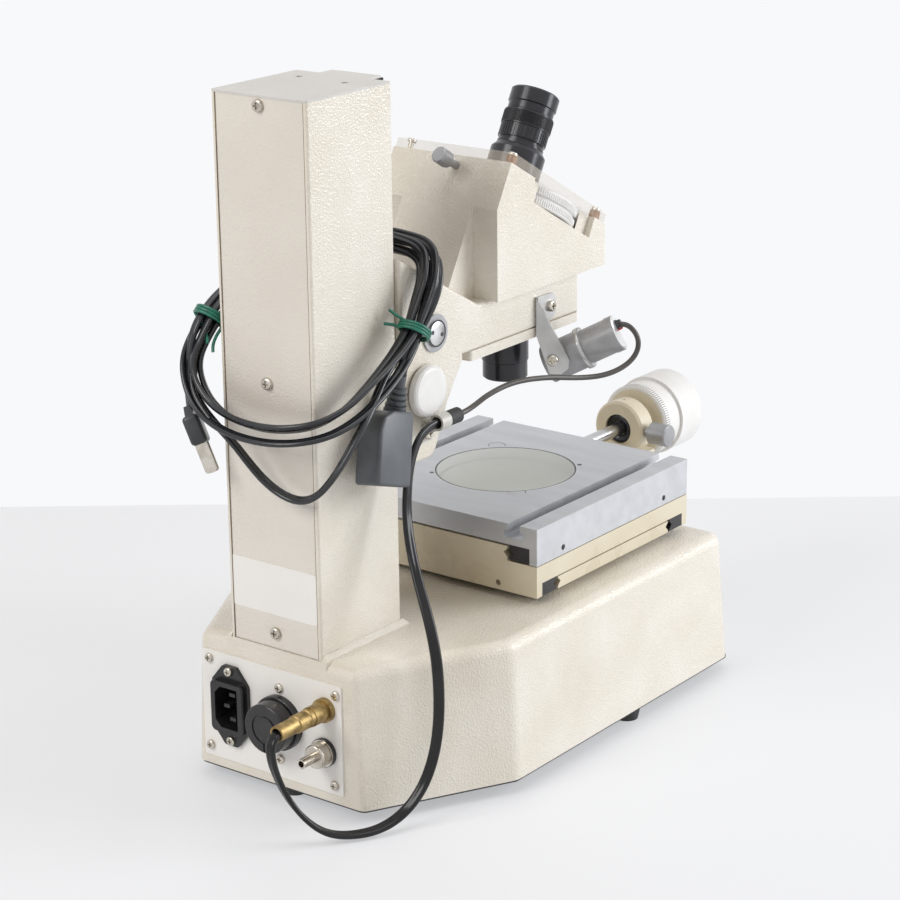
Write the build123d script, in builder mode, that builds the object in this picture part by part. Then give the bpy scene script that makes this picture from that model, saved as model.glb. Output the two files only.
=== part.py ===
from build123d import *

import math
import os

# Measuring microscope with a crossed-roller stage, micrometer drums and a focusing head.
# Millimetres. +Z is up and z = 0 is the table. The user sits on the -Y side and +X is their right.
# The optical axis of the objective is x = 0, y = 0.

os.makedirs("parts", exist_ok=True)

# Fits between pieces
sliding_fit = 0.05
rolling_fit = 0.03
seat_fit = 0.05
running_gap = 0.5

# Base casting
base_half_width = 99.5
base_front_y = -91.0
base_corner_y = 127.0
base_rear_y = 206.2
base_rear_half_width = 57.0
base_bottom_z = 8.0
base_top_z = 86.0
base_draft = 3.0
base_wall = 7.0
base_roof = 9.0
base_side_round = 12.0
base_front_round = 9.0
base_rear_round = 5.0
base_top_round = 7.0
bottom_plate_thickness = 1.2
bottom_plate_inset = 0.8
foot_radius = 8.0
foot_front_inset = 9.0
foot_front_y = 8.0
foot_rear_inset = 12.5

# Connector panel on the rear face, positions as (x, z)
panel_left_x = 51.6
panel_right_x = -44.9
panel_bottom_z = 13.8
panel_top_z = 75.4
panel_thickness = 1.2
panel_screws = [(46.0, 71.0), (-41.5, 70.5), (47.0, 20.0), (-39.5, 19.0), (-3.0, 65.3), (-2.5, 24.4)]
inlet_place = (30.5, 47.0)
inlet_screw_spacing = 40.0
inlet_screws = [(inlet_place[0], inlet_place[1] + side * inlet_screw_spacing / 2) for side in (1, -1)]
inlet_body_width = 19.6
inlet_body_height = 27.0
inlet_body_depth = 22.0
inlet_flange_thickness = 2.2
inlet_flange_width = 25.0
inlet_rim_height = 3.4
inlet_cavity_width = 15.8
inlet_cavity_height = 23.6
inlet_cavity_depth = 16.0
inlet_pin_length = 13.0
fuse_place = (-3.0, 46.0)
fuse_flange_radius = 15.2
fuse_flange_thickness = 4.0
fuse_barrel_radius = 7.5
fuse_barrel_length = 30.0
fuse_cap_radius = 13.8
fuse_cap_length = 9.0
fuse_spigot_radius = 4.5
fuse_spigot_length = 20.0
socket_place = (-34.3, 61.0)
socket_nut_radius = 6.6
socket_nut_thickness = 3.2
socket_barrel_radius = 5.4
socket_length = 13.0
socket_thread_radius = 4.8
ground_place = (-33.0, 36.5)
ground_washer_radius = 7.6
ground_washer_thickness = 2.6
ground_stud_radius = 2.0
ground_stud_length = 5.0
ground_nut_radius = 6.6
ground_nut_length = 6.4
ground_nose_radius = 2.7
ground_nose_length = 10.0

# Pan head screws
screw_head_radius = 2.6
screw_head_height = 1.8
screw_shank_radius = 1.5
screw_shank_length = 5.0
cover_screw_head_radius = 3.3
cover_screw_head_height = 2.2

# Power switch in the front face
switch_inset = 37.5
switch_z = 46.0
switch_frame_width = 25.0
switch_frame_height = 17.0
switch_frame_lip = 2.0
switch_frame_margin = 1.0
switch_body_depth = 18.0
rocker_width = 19.0
rocker_height = 11.4
rocker_depth = 7.0
rocker_gap = 0.4
rocker_rise = 4.0
rocker_drop = 4.0
rocker_dish = 1.6
rocker_pin_radius = 1.0
rocker_pin_length = 0.8

# Column, an open-backed channel
column_half_width = 31.2
column_front_y = 139.0
column_rear_y = 205.4
column_top_z = 377.8
column_wall = 2.2
column_round = 1.5
column_foot_bead = 3.0
column_cap_thickness = 1.2
column_tongue_half_width = 16.0
column_tongue_y = 128.4
cover_thickness = 2.0
cover_recess = 0.5
cover_gap = 0.3
cover_screw_drop = 4.2
cover_screw_z = (94.9, 231.1, column_top_z - cover_screw_drop)
cap_holes = [(17.3, 153.4), (-14.1, 155.1)]
cap_hole_radius = 2.0
rib_height = 6.0

# Dovetail guide rail on the column, with the focusing rack let into it
rail_front_y = 127.0
rail_root_half_width = 12.0
rail_front_half_width = 16.5
rail_bottom_z = 96.0
rack_half_width = 5.0
rack_back_y = 132.0
rack_bottom_z = 150.0
rack_top_z = 366.0
gear_module = 0.8
pinion_teeth = 16
pressure_angle = 20.0
gear_backlash = 0.3

# Stage, three plates that run on crossed rollers. The lower ways run along X, the upper ones along Y.
stage_half = 76.0
plateau_half = 56.0
way_gap = 1.5
rail_outer = 71.0
lower_way_z = 94.2
upper_way_z = 113.0
stage_base_bottom_z = 90.3
stage_base_top_z = 97.2
pedestal_half = 50.0
saddle_skirt_bottom_z = 90.3
saddle_web_bottom_z = 98.0
saddle_web_top_z = 108.3
plateau_top_z = 116.8
top_skirt_bottom_z = 108.8
top_web_bottom_z = 118.0
stage_top_z = 130.0
roller_diameter = 4.5
roller_length = 4.2
rollers_per_way = 8
roller_pitch = 14.0
cage_thickness = 0.6
cage_height = 7.0
way_rail_foot_gap = 0.3
light_bore_radius = 22.0
stage_base_bore_radius = 27.0
saddle_bore_radius = 45.0
glass_radius = 40.2
glass_thickness = 6.0
glass_ledge = 3.0
recess_radius = 5.2
recess_depth = 2.0
recess_places = [(30.8, -33.6), (-29.6, 30.0)]
tapped_places = [(31.0, 29.8), (-30.5, -30.9)]
tapped_radius = 1.5
tapped_depth = 8.0
slot_inner_x = 56.5
slot_outer_x = 64.5
slot_neck_depth = 4.0
slot_tee_depth = 4.0
slot_tee_side = 2.5
skirt_screw_y = 51.0
skirt_screw_radius = 1.7
saddle_screw_x = 49.7
lens_radius = 21.0
lens_thickness = 7.0
lens_crown = 2.5

# Micrometers
spindle_radius = 4.0
sleeve_radius = 9.0
bracket_ring_radius = 17.25
bracket_ring_front = 117.5
bracket_ring_back = 130.0
bracket_recess_radius = 9.2
bracket_recess = 4.0
bracket_oil_radius = 0.8
bracket_edge = 1.4
bracket_foot_half = 20.0
bracket_foot_height = 9.0
bracket_web_half = 11.0
drum_front = 136.5
drum_step = 153.0
drum_back = 176.0
drum_front_radius = 22.8
drum_back_radius = 24.5
drum_end_wall = 6.0
sleeve_end = 162.5
y_spindle_z = 124.0
x_spindle_z = 103.0
lock_offset = 122.8
lock_head_radius = 6.8
lock_neck_radius = 3.0
lock_neck_start = 17.5
lock_head_start = 21.5
lock_head_end = 34.0
lock_shank_radius = 2.0
lug_width = 8.0
lug_depth = 8.0
y_lug_rise = 5.4
x_lug_rise = 2.4

# Head casting: box, wedge and lower arm, all with outlines in the YZ plane
tilt = 29.4
box_half_width = 40.0
box_front_y = -41.5
box_front_top_z = 272.5
box_bottom_z = 248.6
box_slope_length = 102.9
box_rear_depth = 27.1
dial_axis_run = 44.4
wedge_half_width = 24.0
wedge_drop = 47.8
arm_half_width = 34.0
arm_front_y = -24.2
arm_bottom_z = 224.0
carriage_rear_y = 138.5
carriage_top_z = 287.5
carriage_bottom_z = 173.7
arm_slope_start_y = 70.0
head_edge_round = 2.0
arm_nose_round = 9.0
arm_knee = (98.0, 201.5)
window_length = 66.0
window_depth = 12.3
dial_radius = 41.0
dial_thickness = 11.0
dial_gap = 0.3
dial_pocket_radius = 42.6
dial_groove_depth = 1.4
dial_groove_width = 2.0
dial_hub_radius = 18.0
dial_hub_length = 4.0
dial_bore_radius = 12.0
sight_bore_radius = 11.0
acrylic_thickness = 5.6
acrylic_corner = 2.0
acrylic_screw_x = 34.3
acrylic_screw_front_inset = 4.2
acrylic_screw_rear_inset = 7.0
acrylic_screw_radius = 2.6

# Eyepiece, heights above the acrylic cover
eyepiece_spigot_radius = 13.0
eyepiece_bore_radius = 9.0
flange_radius = 15.8
flange_height = 16.0
cone_radius = 13.5
cone_top = 19.0
eye_groove_bottom = 20.5
eye_groove_top = 22.5
eye_groove_radius = 12.5
barrel_radius = 13.75
barrel_top = 29.9
diopter_radius = 14.2
diopter_top = 38.6
neck_radius = 13.25
neck_top = 43.2
eyecup_radius = 14.0
eyecup_top = 52.0
eyecup_bore_radius = 10.5
diopter_sleeve_radius = 11.0

# Objective and its plate
plate_bottom_z = 218.5
plate_rear_y = 78.2
objective_radius = 13.5
objective_nose_radius = 12.9
objective_step_z = 196.2
objective_bottom_z = 186.0
objective_bore_radius = 9.5
objective_thread_radius = 11.5
objective_lens_recess = 3.0

# Focusing shaft, knobs and caps
pinion_axis_y = 120.1
pinion_axis_z = 212.7
focus_shaft_radius = 4.0
focus_knob_radius = 14.0
focus_knob_thickness = 4.5
focus_knob_gap = 0.8
cap_place = (110.0, 241.7)
cap_ring_radius = 10.2
cap_disc_radius = 7.4
cap_seat_radius = 7.0
cap_seat_depth = 5.0
cap_ring_height = 1.2
cap_height = 2.0
spanner_hole_offset = 4.2

# Dial clamp screw
clamp_x = -5.1
clamp_depth = 6.0
clamp_head_radius = 4.5
clamp_head_length = 9.0
clamp_length = 18.0
clamp_shank_radius = 2.2

# Surface light and its bracket
bracket_sheet = 2.0
bracket_top_z = 241.5
bracket_bend_y = 18.2
bracket_fold_angle = 63.2
tab_screw = (6.2, 234.4)
clip_screw = (119.0, 189.0)
lamp_pivot_run = 9.2
lamp_pivot_z = 206.0
lamp_angle = 27.0
lamp_drop = 3.6
lamp_body_radius = 10.0
lamp_nose_radius = 11.0
lamp_ring_radius = 12.0
lamp_nose_start = -7.0
lamp_nose_end = 14.5
lamp_ring_end = 17.5
lamp_cap_start = 33.0
lamp_end = 38.4
lamp_bore_radius = 9.0
lamp_bore_depth = 12.0
lamp_cord_offset = 4.5
lamp_lead_hole_depth = 3.0

# Cords
plug_end = 39.0
lead_end_gap = 0.7
sleeve_x = -44.0
sleeve_z = 196.8
sleeve_middle_y = 108.0
sleeve_half_length = 5.5
sleeve_outer_radius = 4.2
clip_outer_radius = 4.5
clip_thickness = 1.5
clip_half_width = 4.0
lamp_lead_diameter = 3.0
lamp_cable_diameter = 6.0
power_cord_diameter = 5.5
hank_radius = 8.0
connector_length = 39.0
connector_depth = 28.0
connector_width = 16.0
connector_shoulder = 10.0
connector_shoulder_drop = 15.0
connector_edge = 1.5
connector_neck_radius = 5.5
connector_neck_length = 13.0
plug_width = 19.0
plug_thickness = 9.0
plug_length = 16.0
plug_blade_spacing = 12.6
plug_blade_width = 6.3
plug_blade_thickness = 1.5
plug_blade_length = 16.0

# Worked out from the sizes above
slope = math.radians(tilt)
slope_along = (math.cos(slope), math.sin(slope))
base_height = base_top_z - base_bottom_z
draft_run = base_height * math.tan(math.radians(base_draft))
panel_face_y = base_rear_y + panel_thickness
pinion_pitch_radius = gear_module * pinion_teeth / 2
rack_pitch_y = pinion_axis_y + pinion_pitch_radius
column_inner = column_half_width - column_wall
stage_plate_length = 2 * stage_half
box_rear_top_y = box_front_y + box_slope_length * slope_along[0]
box_rear_top_z = box_front_top_z + box_slope_length * slope_along[1]
box_rear_low_y = box_rear_top_y + box_rear_depth * slope_along[1]
box_rear_low_z = box_rear_top_z - box_rear_depth * slope_along[0]
wedge_low_y = box_rear_low_y + wedge_drop * slope_along[1]
wedge_low_z = box_rear_low_z - wedge_drop * slope_along[0]
dial_axis_y = box_front_y + dial_axis_run * slope_along[0]
dial_axis_z = box_front_top_z + dial_axis_run * slope_along[1]

acrylic_screw_front = acrylic_screw_front_inset - dial_axis_run
acrylic_screw_rear = box_slope_length - dial_axis_run - acrylic_screw_rear_inset
acrylic_screws = [
    (acrylic_screw_x, acrylic_screw_front),
    (-acrylic_screw_x, acrylic_screw_front),
    (acrylic_screw_x, acrylic_screw_rear),
    (-acrylic_screw_x, acrylic_screw_rear),
]
dovetail_lean = math.atan2(rail_front_half_width - rail_root_half_width, column_front_y - rail_front_y)
dovetail_clear = sliding_fit / math.cos(dovetail_lean)

# Planes that pieces are drawn on
side_profile = Plane(origin=(0, 0, 0), x_dir=(0, 1, 0), z_dir=(1, 0, 0))
box_top = Plane(
    origin=(0, dial_axis_y, dial_axis_z),
    x_dir=(1, 0, 0),
    z_dir=(0, -slope_along[1], slope_along[0]),
)
cover_top = box_top.offset(acrylic_thickness)
clamp_plane = Plane(
    origin=(
        clamp_x,
        box_rear_top_y + clamp_depth * slope_along[1],
        box_rear_top_z - clamp_depth * slope_along[0],
    ),
    z_dir=(0, *slope_along),
)


def facing(point, direction):
    """A plane at a point, with its normal along a direction."""
    return Plane(origin=point, z_dir=direction)


def on_rear(place, y):
    """A plane facing the rear at (x, z). Its sketch X is -x and its sketch Y is z."""
    return Plane(origin=(place[0], y, place[1]), x_dir=(-1, 0, 0), z_dir=(0, 1, 0))


def on_panel(place):
    """A plane on the face of the connector panel at (x, z)."""
    return on_rear(place, panel_face_y)


def turned(plane, profile):
    """A solid of revolution about a plane's normal, from (radius, height) points."""
    with BuildPart() as turning:
        with BuildSketch(Plane(origin=plane.origin, x_dir=plane.x_dir, z_dir=-plane.y_dir)):
            Polygon(*profile, align=None)
        revolve(axis=Axis(plane.origin, plane.z_dir))
    return turning.part


def pan_screw(head_radius, head_height, shank_radius, shank_length):
    """A screw whose head sits on z = 0 and whose shank goes down, with a cross recess."""
    with BuildPart() as screw:
        with BuildSketch(Plane.XY):
            Circle(head_radius)
        extrude(amount=head_height)
        fillet(screw.faces().sort_by(Axis.Z)[-1].edges(), head_height * 0.5)
        with BuildSketch(Plane.XY):
            Circle(shank_radius)
        extrude(amount=-shank_length)
        with BuildSketch(Plane.XY.offset(head_height)):
            Rectangle(head_radius * 1.1, head_radius * 0.28)
            Rectangle(head_radius * 0.28, head_radius * 1.1)
        extrude(amount=-head_height * 0.6, mode=Mode.SUBTRACT)
    return screw.part


groove_reach = (roller_diameter + 2 * rolling_fit) * math.sqrt(2) / 2

switch_x = base_half_width - switch_inset
switch_face_y = base_front_y + (switch_z - base_bottom_z) * math.tan(math.radians(base_draft))
switch_plane = Plane(
    origin=(switch_x, switch_face_y, switch_z),
    x_dir=(1, 0, 0),
    z_dir=(0, -math.cos(math.radians(base_draft)), math.sin(math.radians(base_draft))),
)

# Base casting. Its walls lean in by the draft, apart from the rear face.
rear_corner_slope = (base_half_width - base_rear_half_width) / (base_rear_y - base_corner_y)
casting_run_y = base_rear_y + draft_run + base_wall
casting_run_x = base_half_width - (casting_run_y - base_corner_y) * rear_corner_slope
base_outline = [
    (-base_half_width, base_front_y),
    (base_half_width, base_front_y),
    (base_half_width, base_corner_y),
    (casting_run_x, casting_run_y),
    (-casting_run_x, casting_run_y),
    (-base_half_width, base_corner_y),
]
with BuildPart() as base_casting:
    with BuildSketch(Plane.XY.offset(base_bottom_z)):
        Polygon(*base_outline, align=None)
    extrude(amount=base_height, taper=base_draft)
    split(bisect_by=Plane(origin=(0, base_rear_y, 0), z_dir=(0, -1, 0)))
    upright = base_casting.edges().filter_by(lambda e: abs(e.tangent_at(0.5).Z) > 0.9)
    fillet(upright.group_by(Axis.Y)[0], base_front_round)
    upright = base_casting.edges().filter_by(lambda e: abs(e.tangent_at(0.5).Z) > 0.9)
    middle = upright.filter_by_position(Axis.Y, base_corner_y - 10, base_corner_y + 10)
    fillet(middle, base_side_round)
    upright = base_casting.edges().filter_by(lambda e: abs(e.tangent_at(0.5).Z) > 0.9)
    fillet(upright.group_by(Axis.Y)[-1], base_rear_round)
    fillet(base_casting.faces().sort_by(Axis.Z)[-1].edges(), base_top_round)
    # Hollow underneath
    with BuildSketch(Plane.XY.offset(base_bottom_z)):
        Polygon(
            *[
                (-base_half_width, base_front_y),
                (base_half_width, base_front_y),
                (base_half_width, base_corner_y),
                (base_rear_half_width, base_rear_y),
                (-base_rear_half_width, base_rear_y),
                (-base_half_width, base_corner_y),
            ],
            align=None,
        )
        offset(amount=-(base_wall + draft_run), kind=Kind.INTERSECTION)
    extrude(amount=base_height - base_roof, mode=Mode.SUBTRACT)
    # Foot bead round the column and the pad under the stage
    bead_low_z = base_top_z - base_top_round
    with BuildSketch(Plane.XY.offset(bead_low_z)):
        with Locations((0, (column_front_y - column_foot_bead + base_rear_y - 0.4) / 2)):
            Rectangle(
                2 * (column_half_width + column_foot_bead),
                base_rear_y - 0.4 - column_front_y + column_foot_bead,
            )
    extrude(amount=base_top_round + column_foot_bead)
    bead_top = base_casting.faces().sort_by(Axis.Z)[-1]
    chamfer(bead_top.edges(), column_foot_bead - 0.6)
    with BuildSketch(Plane.XY.offset(base_top_z)):
        RectangleRounded(2 * pedestal_half, 2 * pedestal_half, 6)
    extrude(amount=stage_base_bottom_z - base_top_z)
    # The column's place is cut back to the top of the base
    with BuildSketch(Plane.XY.offset(base_top_z)):
        with Locations((0, (column_front_y + column_rear_y + 10) / 2)):
            Rectangle(2 * column_half_width, column_rear_y + 10 - column_front_y)
    extrude(amount=column_foot_bead, mode=Mode.SUBTRACT)
    # Bore for the light from below, stepped for the condenser lens
    with Locations((0, 0, stage_base_bottom_z)):
        CounterBoreHole(light_bore_radius - 3, lens_radius + seat_fit, lens_thickness)
    # Holes behind the connector panel
    wall_depth = base_wall + draft_run + 2
    with Locations(on_rear(inlet_place, base_rear_y)):
        Box(
            inlet_body_width + 1,
            inlet_body_height + 1,
            2 * wall_depth,
            mode=Mode.SUBTRACT,
        )
    for place, radius in (
        (fuse_place, fuse_barrel_radius),
        (socket_place, socket_thread_radius),
        (ground_place, ground_stud_radius),
    ):
        with Locations(on_rear(place, base_rear_y)):
            Cylinder(radius + seat_fit, 2 * wall_depth, mode=Mode.SUBTRACT)
    for place in panel_screws + inlet_screws:
        with Locations(on_rear(place, base_rear_y)):
            Cylinder(screw_shank_radius + seat_fit, 2 * screw_shank_length, mode=Mode.SUBTRACT)
    # Hole for the power switch
    with Locations(switch_plane):
        Box(
            switch_frame_width - 2 * switch_frame_margin,
            switch_frame_height - 2 * switch_frame_margin,
            2 * switch_body_depth + 4,
            mode=Mode.SUBTRACT,
        )
base_casting.part.label = "base_casting"
export_step(base_casting.part, "parts/base_casting.step")

# Bottom plate and rubber feet
with BuildPart() as bottom_plate:
    with BuildSketch(Plane.XY.offset(base_bottom_z - bottom_plate_thickness)):
        Polygon(
            (-base_half_width, base_front_y),
            (base_half_width, base_front_y),
            (base_half_width, base_corner_y),
            (base_rear_half_width, base_rear_y),
            (-base_rear_half_width, base_rear_y),
            (-base_half_width, base_corner_y),
            align=None,
        )
        offset(amount=-bottom_plate_inset, kind=Kind.INTERSECTION)
    extrude(amount=bottom_plate_thickness)
    plate_corners = bottom_plate.edges().filter_by(Axis.Z)
    fillet(plate_corners, base_rear_round)
bottom_plate.part.label = "bottom_plate"
export_step(bottom_plate.part, "parts/bottom_plate.step")

foot_height = base_bottom_z - bottom_plate_thickness
foot_front_x = base_half_width - foot_front_inset
foot_places = [
    (foot_front_x, foot_front_y),
    (-foot_front_x, foot_front_y),
    (0, base_rear_y - foot_rear_inset),
]
with BuildPart() as rubber_feet:
    with Locations(*foot_places):
        Cone(foot_radius - 1.5, foot_radius, foot_height, align=(Align.CENTER, Align.CENTER, Align.MIN))
        Cylinder(
            foot_radius * 0.4,
            foot_height * 0.5,
            align=(Align.CENTER, Align.CENTER, Align.MIN),
            mode=Mode.SUBTRACT,
        )
rubber_feet.part.label = "rubber_feet"
export_step(rubber_feet.part, "parts/rubber_feet.step")

# Connector panel
panel_width = panel_left_x - panel_right_x
panel_height = panel_top_z - panel_bottom_z
with BuildPart() as connector_panel:
    with BuildSketch(on_rear((0, 0), base_rear_y)):
        with Locations((-(panel_left_x + panel_right_x) / 2, (panel_bottom_z + panel_top_z) / 2)):
            RectangleRounded(panel_width, panel_height, 1.0)
        with Locations((-inlet_place[0], inlet_place[1])):
            Rectangle(inlet_body_width + 0.4, inlet_body_height + 0.4, mode=Mode.SUBTRACT)
        with Locations((-fuse_place[0], fuse_place[1])):
            Circle(fuse_barrel_radius + seat_fit, mode=Mode.SUBTRACT)
        with Locations((-socket_place[0], socket_place[1])):
            Circle(socket_thread_radius + seat_fit, mode=Mode.SUBTRACT)
        with Locations((-ground_place[0], ground_place[1])):
            Circle(ground_stud_radius + seat_fit, mode=Mode.SUBTRACT)
        for screw_x, screw_z in panel_screws + inlet_screws:
            with Locations((-screw_x, screw_z)):
                Circle(screw_shank_radius + seat_fit, mode=Mode.SUBTRACT)
    extrude(amount=panel_thickness)
connector_panel.part.label = "connector_panel"
export_step(connector_panel.part, "parts/connector_panel.step")

# Mains inlet: an eared flange with a raised rim round a cavity that holds three pins
inlet_ear_radius = 4.6
inlet_face = on_panel(inlet_place)
with BuildPart() as power_inlet:
    with BuildSketch(inlet_face):
        with BuildLine():
            half_width = inlet_flange_width / 2
            Polyline(
                (-half_width, -inlet_body_height / 2),
                (-inlet_ear_radius, -inlet_screw_spacing / 2 - 3),
                (inlet_ear_radius, -inlet_screw_spacing / 2 - 3),
                (half_width, -inlet_body_height / 2),
                (half_width, inlet_body_height / 2),
                (inlet_ear_radius, inlet_screw_spacing / 2 + 3),
                (-inlet_ear_radius, inlet_screw_spacing / 2 + 3),
                (-half_width, inlet_body_height / 2),
                close=True,
            )
        make_face()
        fillet(vertices(), 2.4)
        with Locations((0, inlet_screw_spacing / 2), (0, -inlet_screw_spacing / 2)):
            Circle(screw_shank_radius + seat_fit, mode=Mode.SUBTRACT)
    extrude(amount=inlet_flange_thickness)
    with BuildSketch(inlet_face):
        RectangleRounded(inlet_body_width, inlet_body_height, 2)
    extrude(amount=-inlet_body_depth)
    with BuildSketch(inlet_face.offset(inlet_flange_thickness)):
        RectangleRounded(inlet_body_width + 2, inlet_body_height + 2, 3)
    extrude(amount=inlet_rim_height)
    with BuildSketch(inlet_face.offset(inlet_flange_thickness + inlet_rim_height)):
        Polygon(
            (-inlet_cavity_width / 2 + 4, -inlet_cavity_height / 2),
            (inlet_cavity_width / 2, -inlet_cavity_height / 2),
            (inlet_cavity_width / 2, inlet_cavity_height / 2),
            (-inlet_cavity_width / 2 + 4, inlet_cavity_height / 2),
            (-inlet_cavity_width / 2, inlet_cavity_height / 2 - 4),
            (-inlet_cavity_width / 2, -inlet_cavity_height / 2 + 4),
            align=None,
        )
    extrude(amount=-inlet_cavity_depth, mode=Mode.SUBTRACT)
    with BuildSketch(inlet_face.offset(inlet_flange_thickness + inlet_rim_height - inlet_cavity_depth)):
        with Locations((2, 7), (2, -7), (-2, 0)):
            Rectangle(4, 2)
    extrude(amount=inlet_pin_length)
power_inlet.part.label = "power_inlet"
export_step(power_inlet.part, "parts/power_inlet.step")

# Fuse holder and its cap
fuse_face = on_panel(fuse_place)
with BuildPart() as fuse_holder:
    with BuildSketch(fuse_face):
        Circle(fuse_flange_radius)
    extrude(amount=fuse_flange_thickness)
    fillet(fuse_holder.edges().filter_by(GeomType.CIRCLE).sort_by(Axis.Y)[-1], 0.8)
    with BuildSketch(fuse_face):
        Circle(fuse_barrel_radius)
    extrude(amount=-fuse_barrel_length)
    with BuildSketch(fuse_face.offset(fuse_flange_thickness)):
        Circle(fuse_spigot_radius + sliding_fit)
    extrude(amount=-fuse_spigot_length - 1, mode=Mode.SUBTRACT)
fuse_holder.part.label = "fuse_holder"
export_step(fuse_holder.part, "parts/fuse_holder.step")

fuse_cap_start = fuse_flange_thickness + 0.3
with BuildPart() as fuse_cap:
    with BuildSketch(fuse_face.offset(fuse_cap_start)):
        Circle(fuse_cap_radius)
    extrude(amount=fuse_cap_length)
    fillet(fuse_cap.edges().filter_by(GeomType.CIRCLE).sort_by(Axis.Y)[-1], 1.0)
    with BuildSketch(fuse_face.offset(fuse_cap_start)):
        Circle(fuse_spigot_radius)
    extrude(amount=-fuse_spigot_length)
    with BuildSketch(fuse_face.offset(fuse_cap_start + fuse_cap_length)):
        Circle(fuse_cap_radius * 0.62)
        Circle(fuse_cap_radius * 0.5, mode=Mode.SUBTRACT)
        with Locations((0, -fuse_cap_radius * 0.75)):
            Rectangle(2.0, fuse_cap_radius * 0.34)
    extrude(amount=-0.6, mode=Mode.SUBTRACT)
fuse_cap.part.label = "fuse_cap"
export_step(fuse_cap.part, "parts/fuse_cap.step")

# Low voltage socket for the surface light
socket_face = on_panel(socket_place)
socket_bore_radius = 2.6
with BuildPart() as lamp_socket:
    with BuildSketch(socket_face):
        Circle(socket_nut_radius)
    extrude(amount=socket_nut_thickness)
    with BuildSketch(socket_face):
        Circle(socket_barrel_radius)
    extrude(amount=socket_length)
    with BuildSketch(socket_face):
        Circle(socket_thread_radius)
    extrude(amount=-base_wall - draft_run)
    with BuildSketch(socket_face.offset(socket_length)):
        Circle(socket_bore_radius)
    extrude(amount=-socket_length, mode=Mode.SUBTRACT)
lamp_socket.part.label = "lamp_socket"
export_step(lamp_socket.part, "parts/lamp_socket.step")

# Earth terminal: insulating washer with its stud, and a nut with a tubular nose
ground_face = on_panel(ground_place)
with BuildPart() as ground_post:
    with BuildSketch(ground_face):
        Circle(ground_washer_radius)
    extrude(amount=ground_washer_thickness)
    with BuildSketch(ground_face.offset(ground_washer_thickness)):
        Circle(ground_stud_radius)
    extrude(amount=ground_stud_length)
    with BuildSketch(ground_face):
        Circle(ground_stud_radius)
    extrude(amount=-base_wall - draft_run)
ground_post.part.label = "ground_post"
export_step(ground_post.part, "parts/ground_post.step")

ground_nut_start = ground_washer_thickness + 0.2
ground_end = ground_nut_start + ground_nut_length + ground_nose_length
with BuildPart() as ground_nut:
    with BuildSketch(ground_face.offset(ground_nut_start)):
        Circle(ground_nut_radius)
    extrude(amount=ground_nut_length)
    fillet(ground_nut.edges().filter_by(GeomType.CIRCLE).sort_by(Axis.Y)[-1], 1.2)
    with BuildSketch(ground_face.offset(ground_nut_start)):
        Circle(ground_nose_radius)
    extrude(amount=ground_nut_length + ground_nose_length)
    with BuildSketch(ground_face.offset(ground_end)):
        Circle(ground_nose_radius - 0.9)
    extrude(amount=-ground_nose_length, mode=Mode.SUBTRACT)
    with BuildSketch(ground_face.offset(ground_nut_start)):
        Circle(ground_stud_radius + sliding_fit)
    extrude(amount=ground_stud_length, mode=Mode.SUBTRACT)
ground_nut.part.label = "ground_nut"
export_step(ground_nut.part, "parts/ground_nut.step")

# Power switch: a frame in the front face and its rocker, which tips about an upright pin
switch_hole_width = switch_frame_width - 2 * switch_frame_margin
switch_hole_height = switch_frame_height - 2 * switch_frame_margin
rocker_opening_width = rocker_width + 2 * rocker_gap
rocker_opening_height = rocker_height + 2 * rocker_gap
with BuildPart() as switch_frame:
    with BuildSketch(switch_plane):
        RectangleRounded(switch_frame_width, switch_frame_height, 1.5)
    extrude(amount=switch_frame_lip)
    with BuildSketch(switch_plane):
        Rectangle(switch_hole_width - 2 * seat_fit, switch_hole_height - 2 * seat_fit)
    extrude(amount=-switch_body_depth)
    with BuildSketch(switch_plane.offset(switch_frame_lip)):
        Rectangle(rocker_opening_width, rocker_opening_height)
    extrude(amount=-switch_frame_lip - rocker_depth, mode=Mode.SUBTRACT)
    with Locations(Plane(origin=switch_plane.origin, z_dir=switch_plane.y_dir)):
        Cylinder(
            rocker_pin_radius + sliding_fit,
            rocker_height + 2 * (rocker_gap + rocker_pin_length),
            mode=Mode.SUBTRACT,
        )
switch_frame.part.label = "switch_frame"
export_step(switch_frame.part, "parts/switch_frame.step")

rocker_section = Plane(origin=switch_plane.origin, x_dir=(1, 0, 0), z_dir=-switch_plane.y_dir)
with BuildPart() as power_rocker:
    with BuildSketch(rocker_section):
        Circle(rocker_width / 2)
        with Locations((0, (rocker_rise - rocker_drop) / 2)):
            Rectangle(rocker_width, rocker_rise + rocker_drop, mode=Mode.INTERSECT)
        Polygon(
            (-rocker_width / 2, rocker_rise),
            (0, rocker_rise - rocker_dish),
            (rocker_width / 2, rocker_rise),
            align=None,
            mode=Mode.SUBTRACT,
        )
    extrude(amount=rocker_height / 2, both=True)
    with Locations(Plane(origin=switch_plane.origin, z_dir=switch_plane.y_dir)):
        Cylinder(rocker_pin_radius, rocker_height + 2 * (rocker_gap + rocker_pin_length) - 0.4)
power_rocker.part.label = "power_rocker"
export_step(power_rocker.part, "parts/power_rocker.step")

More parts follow.
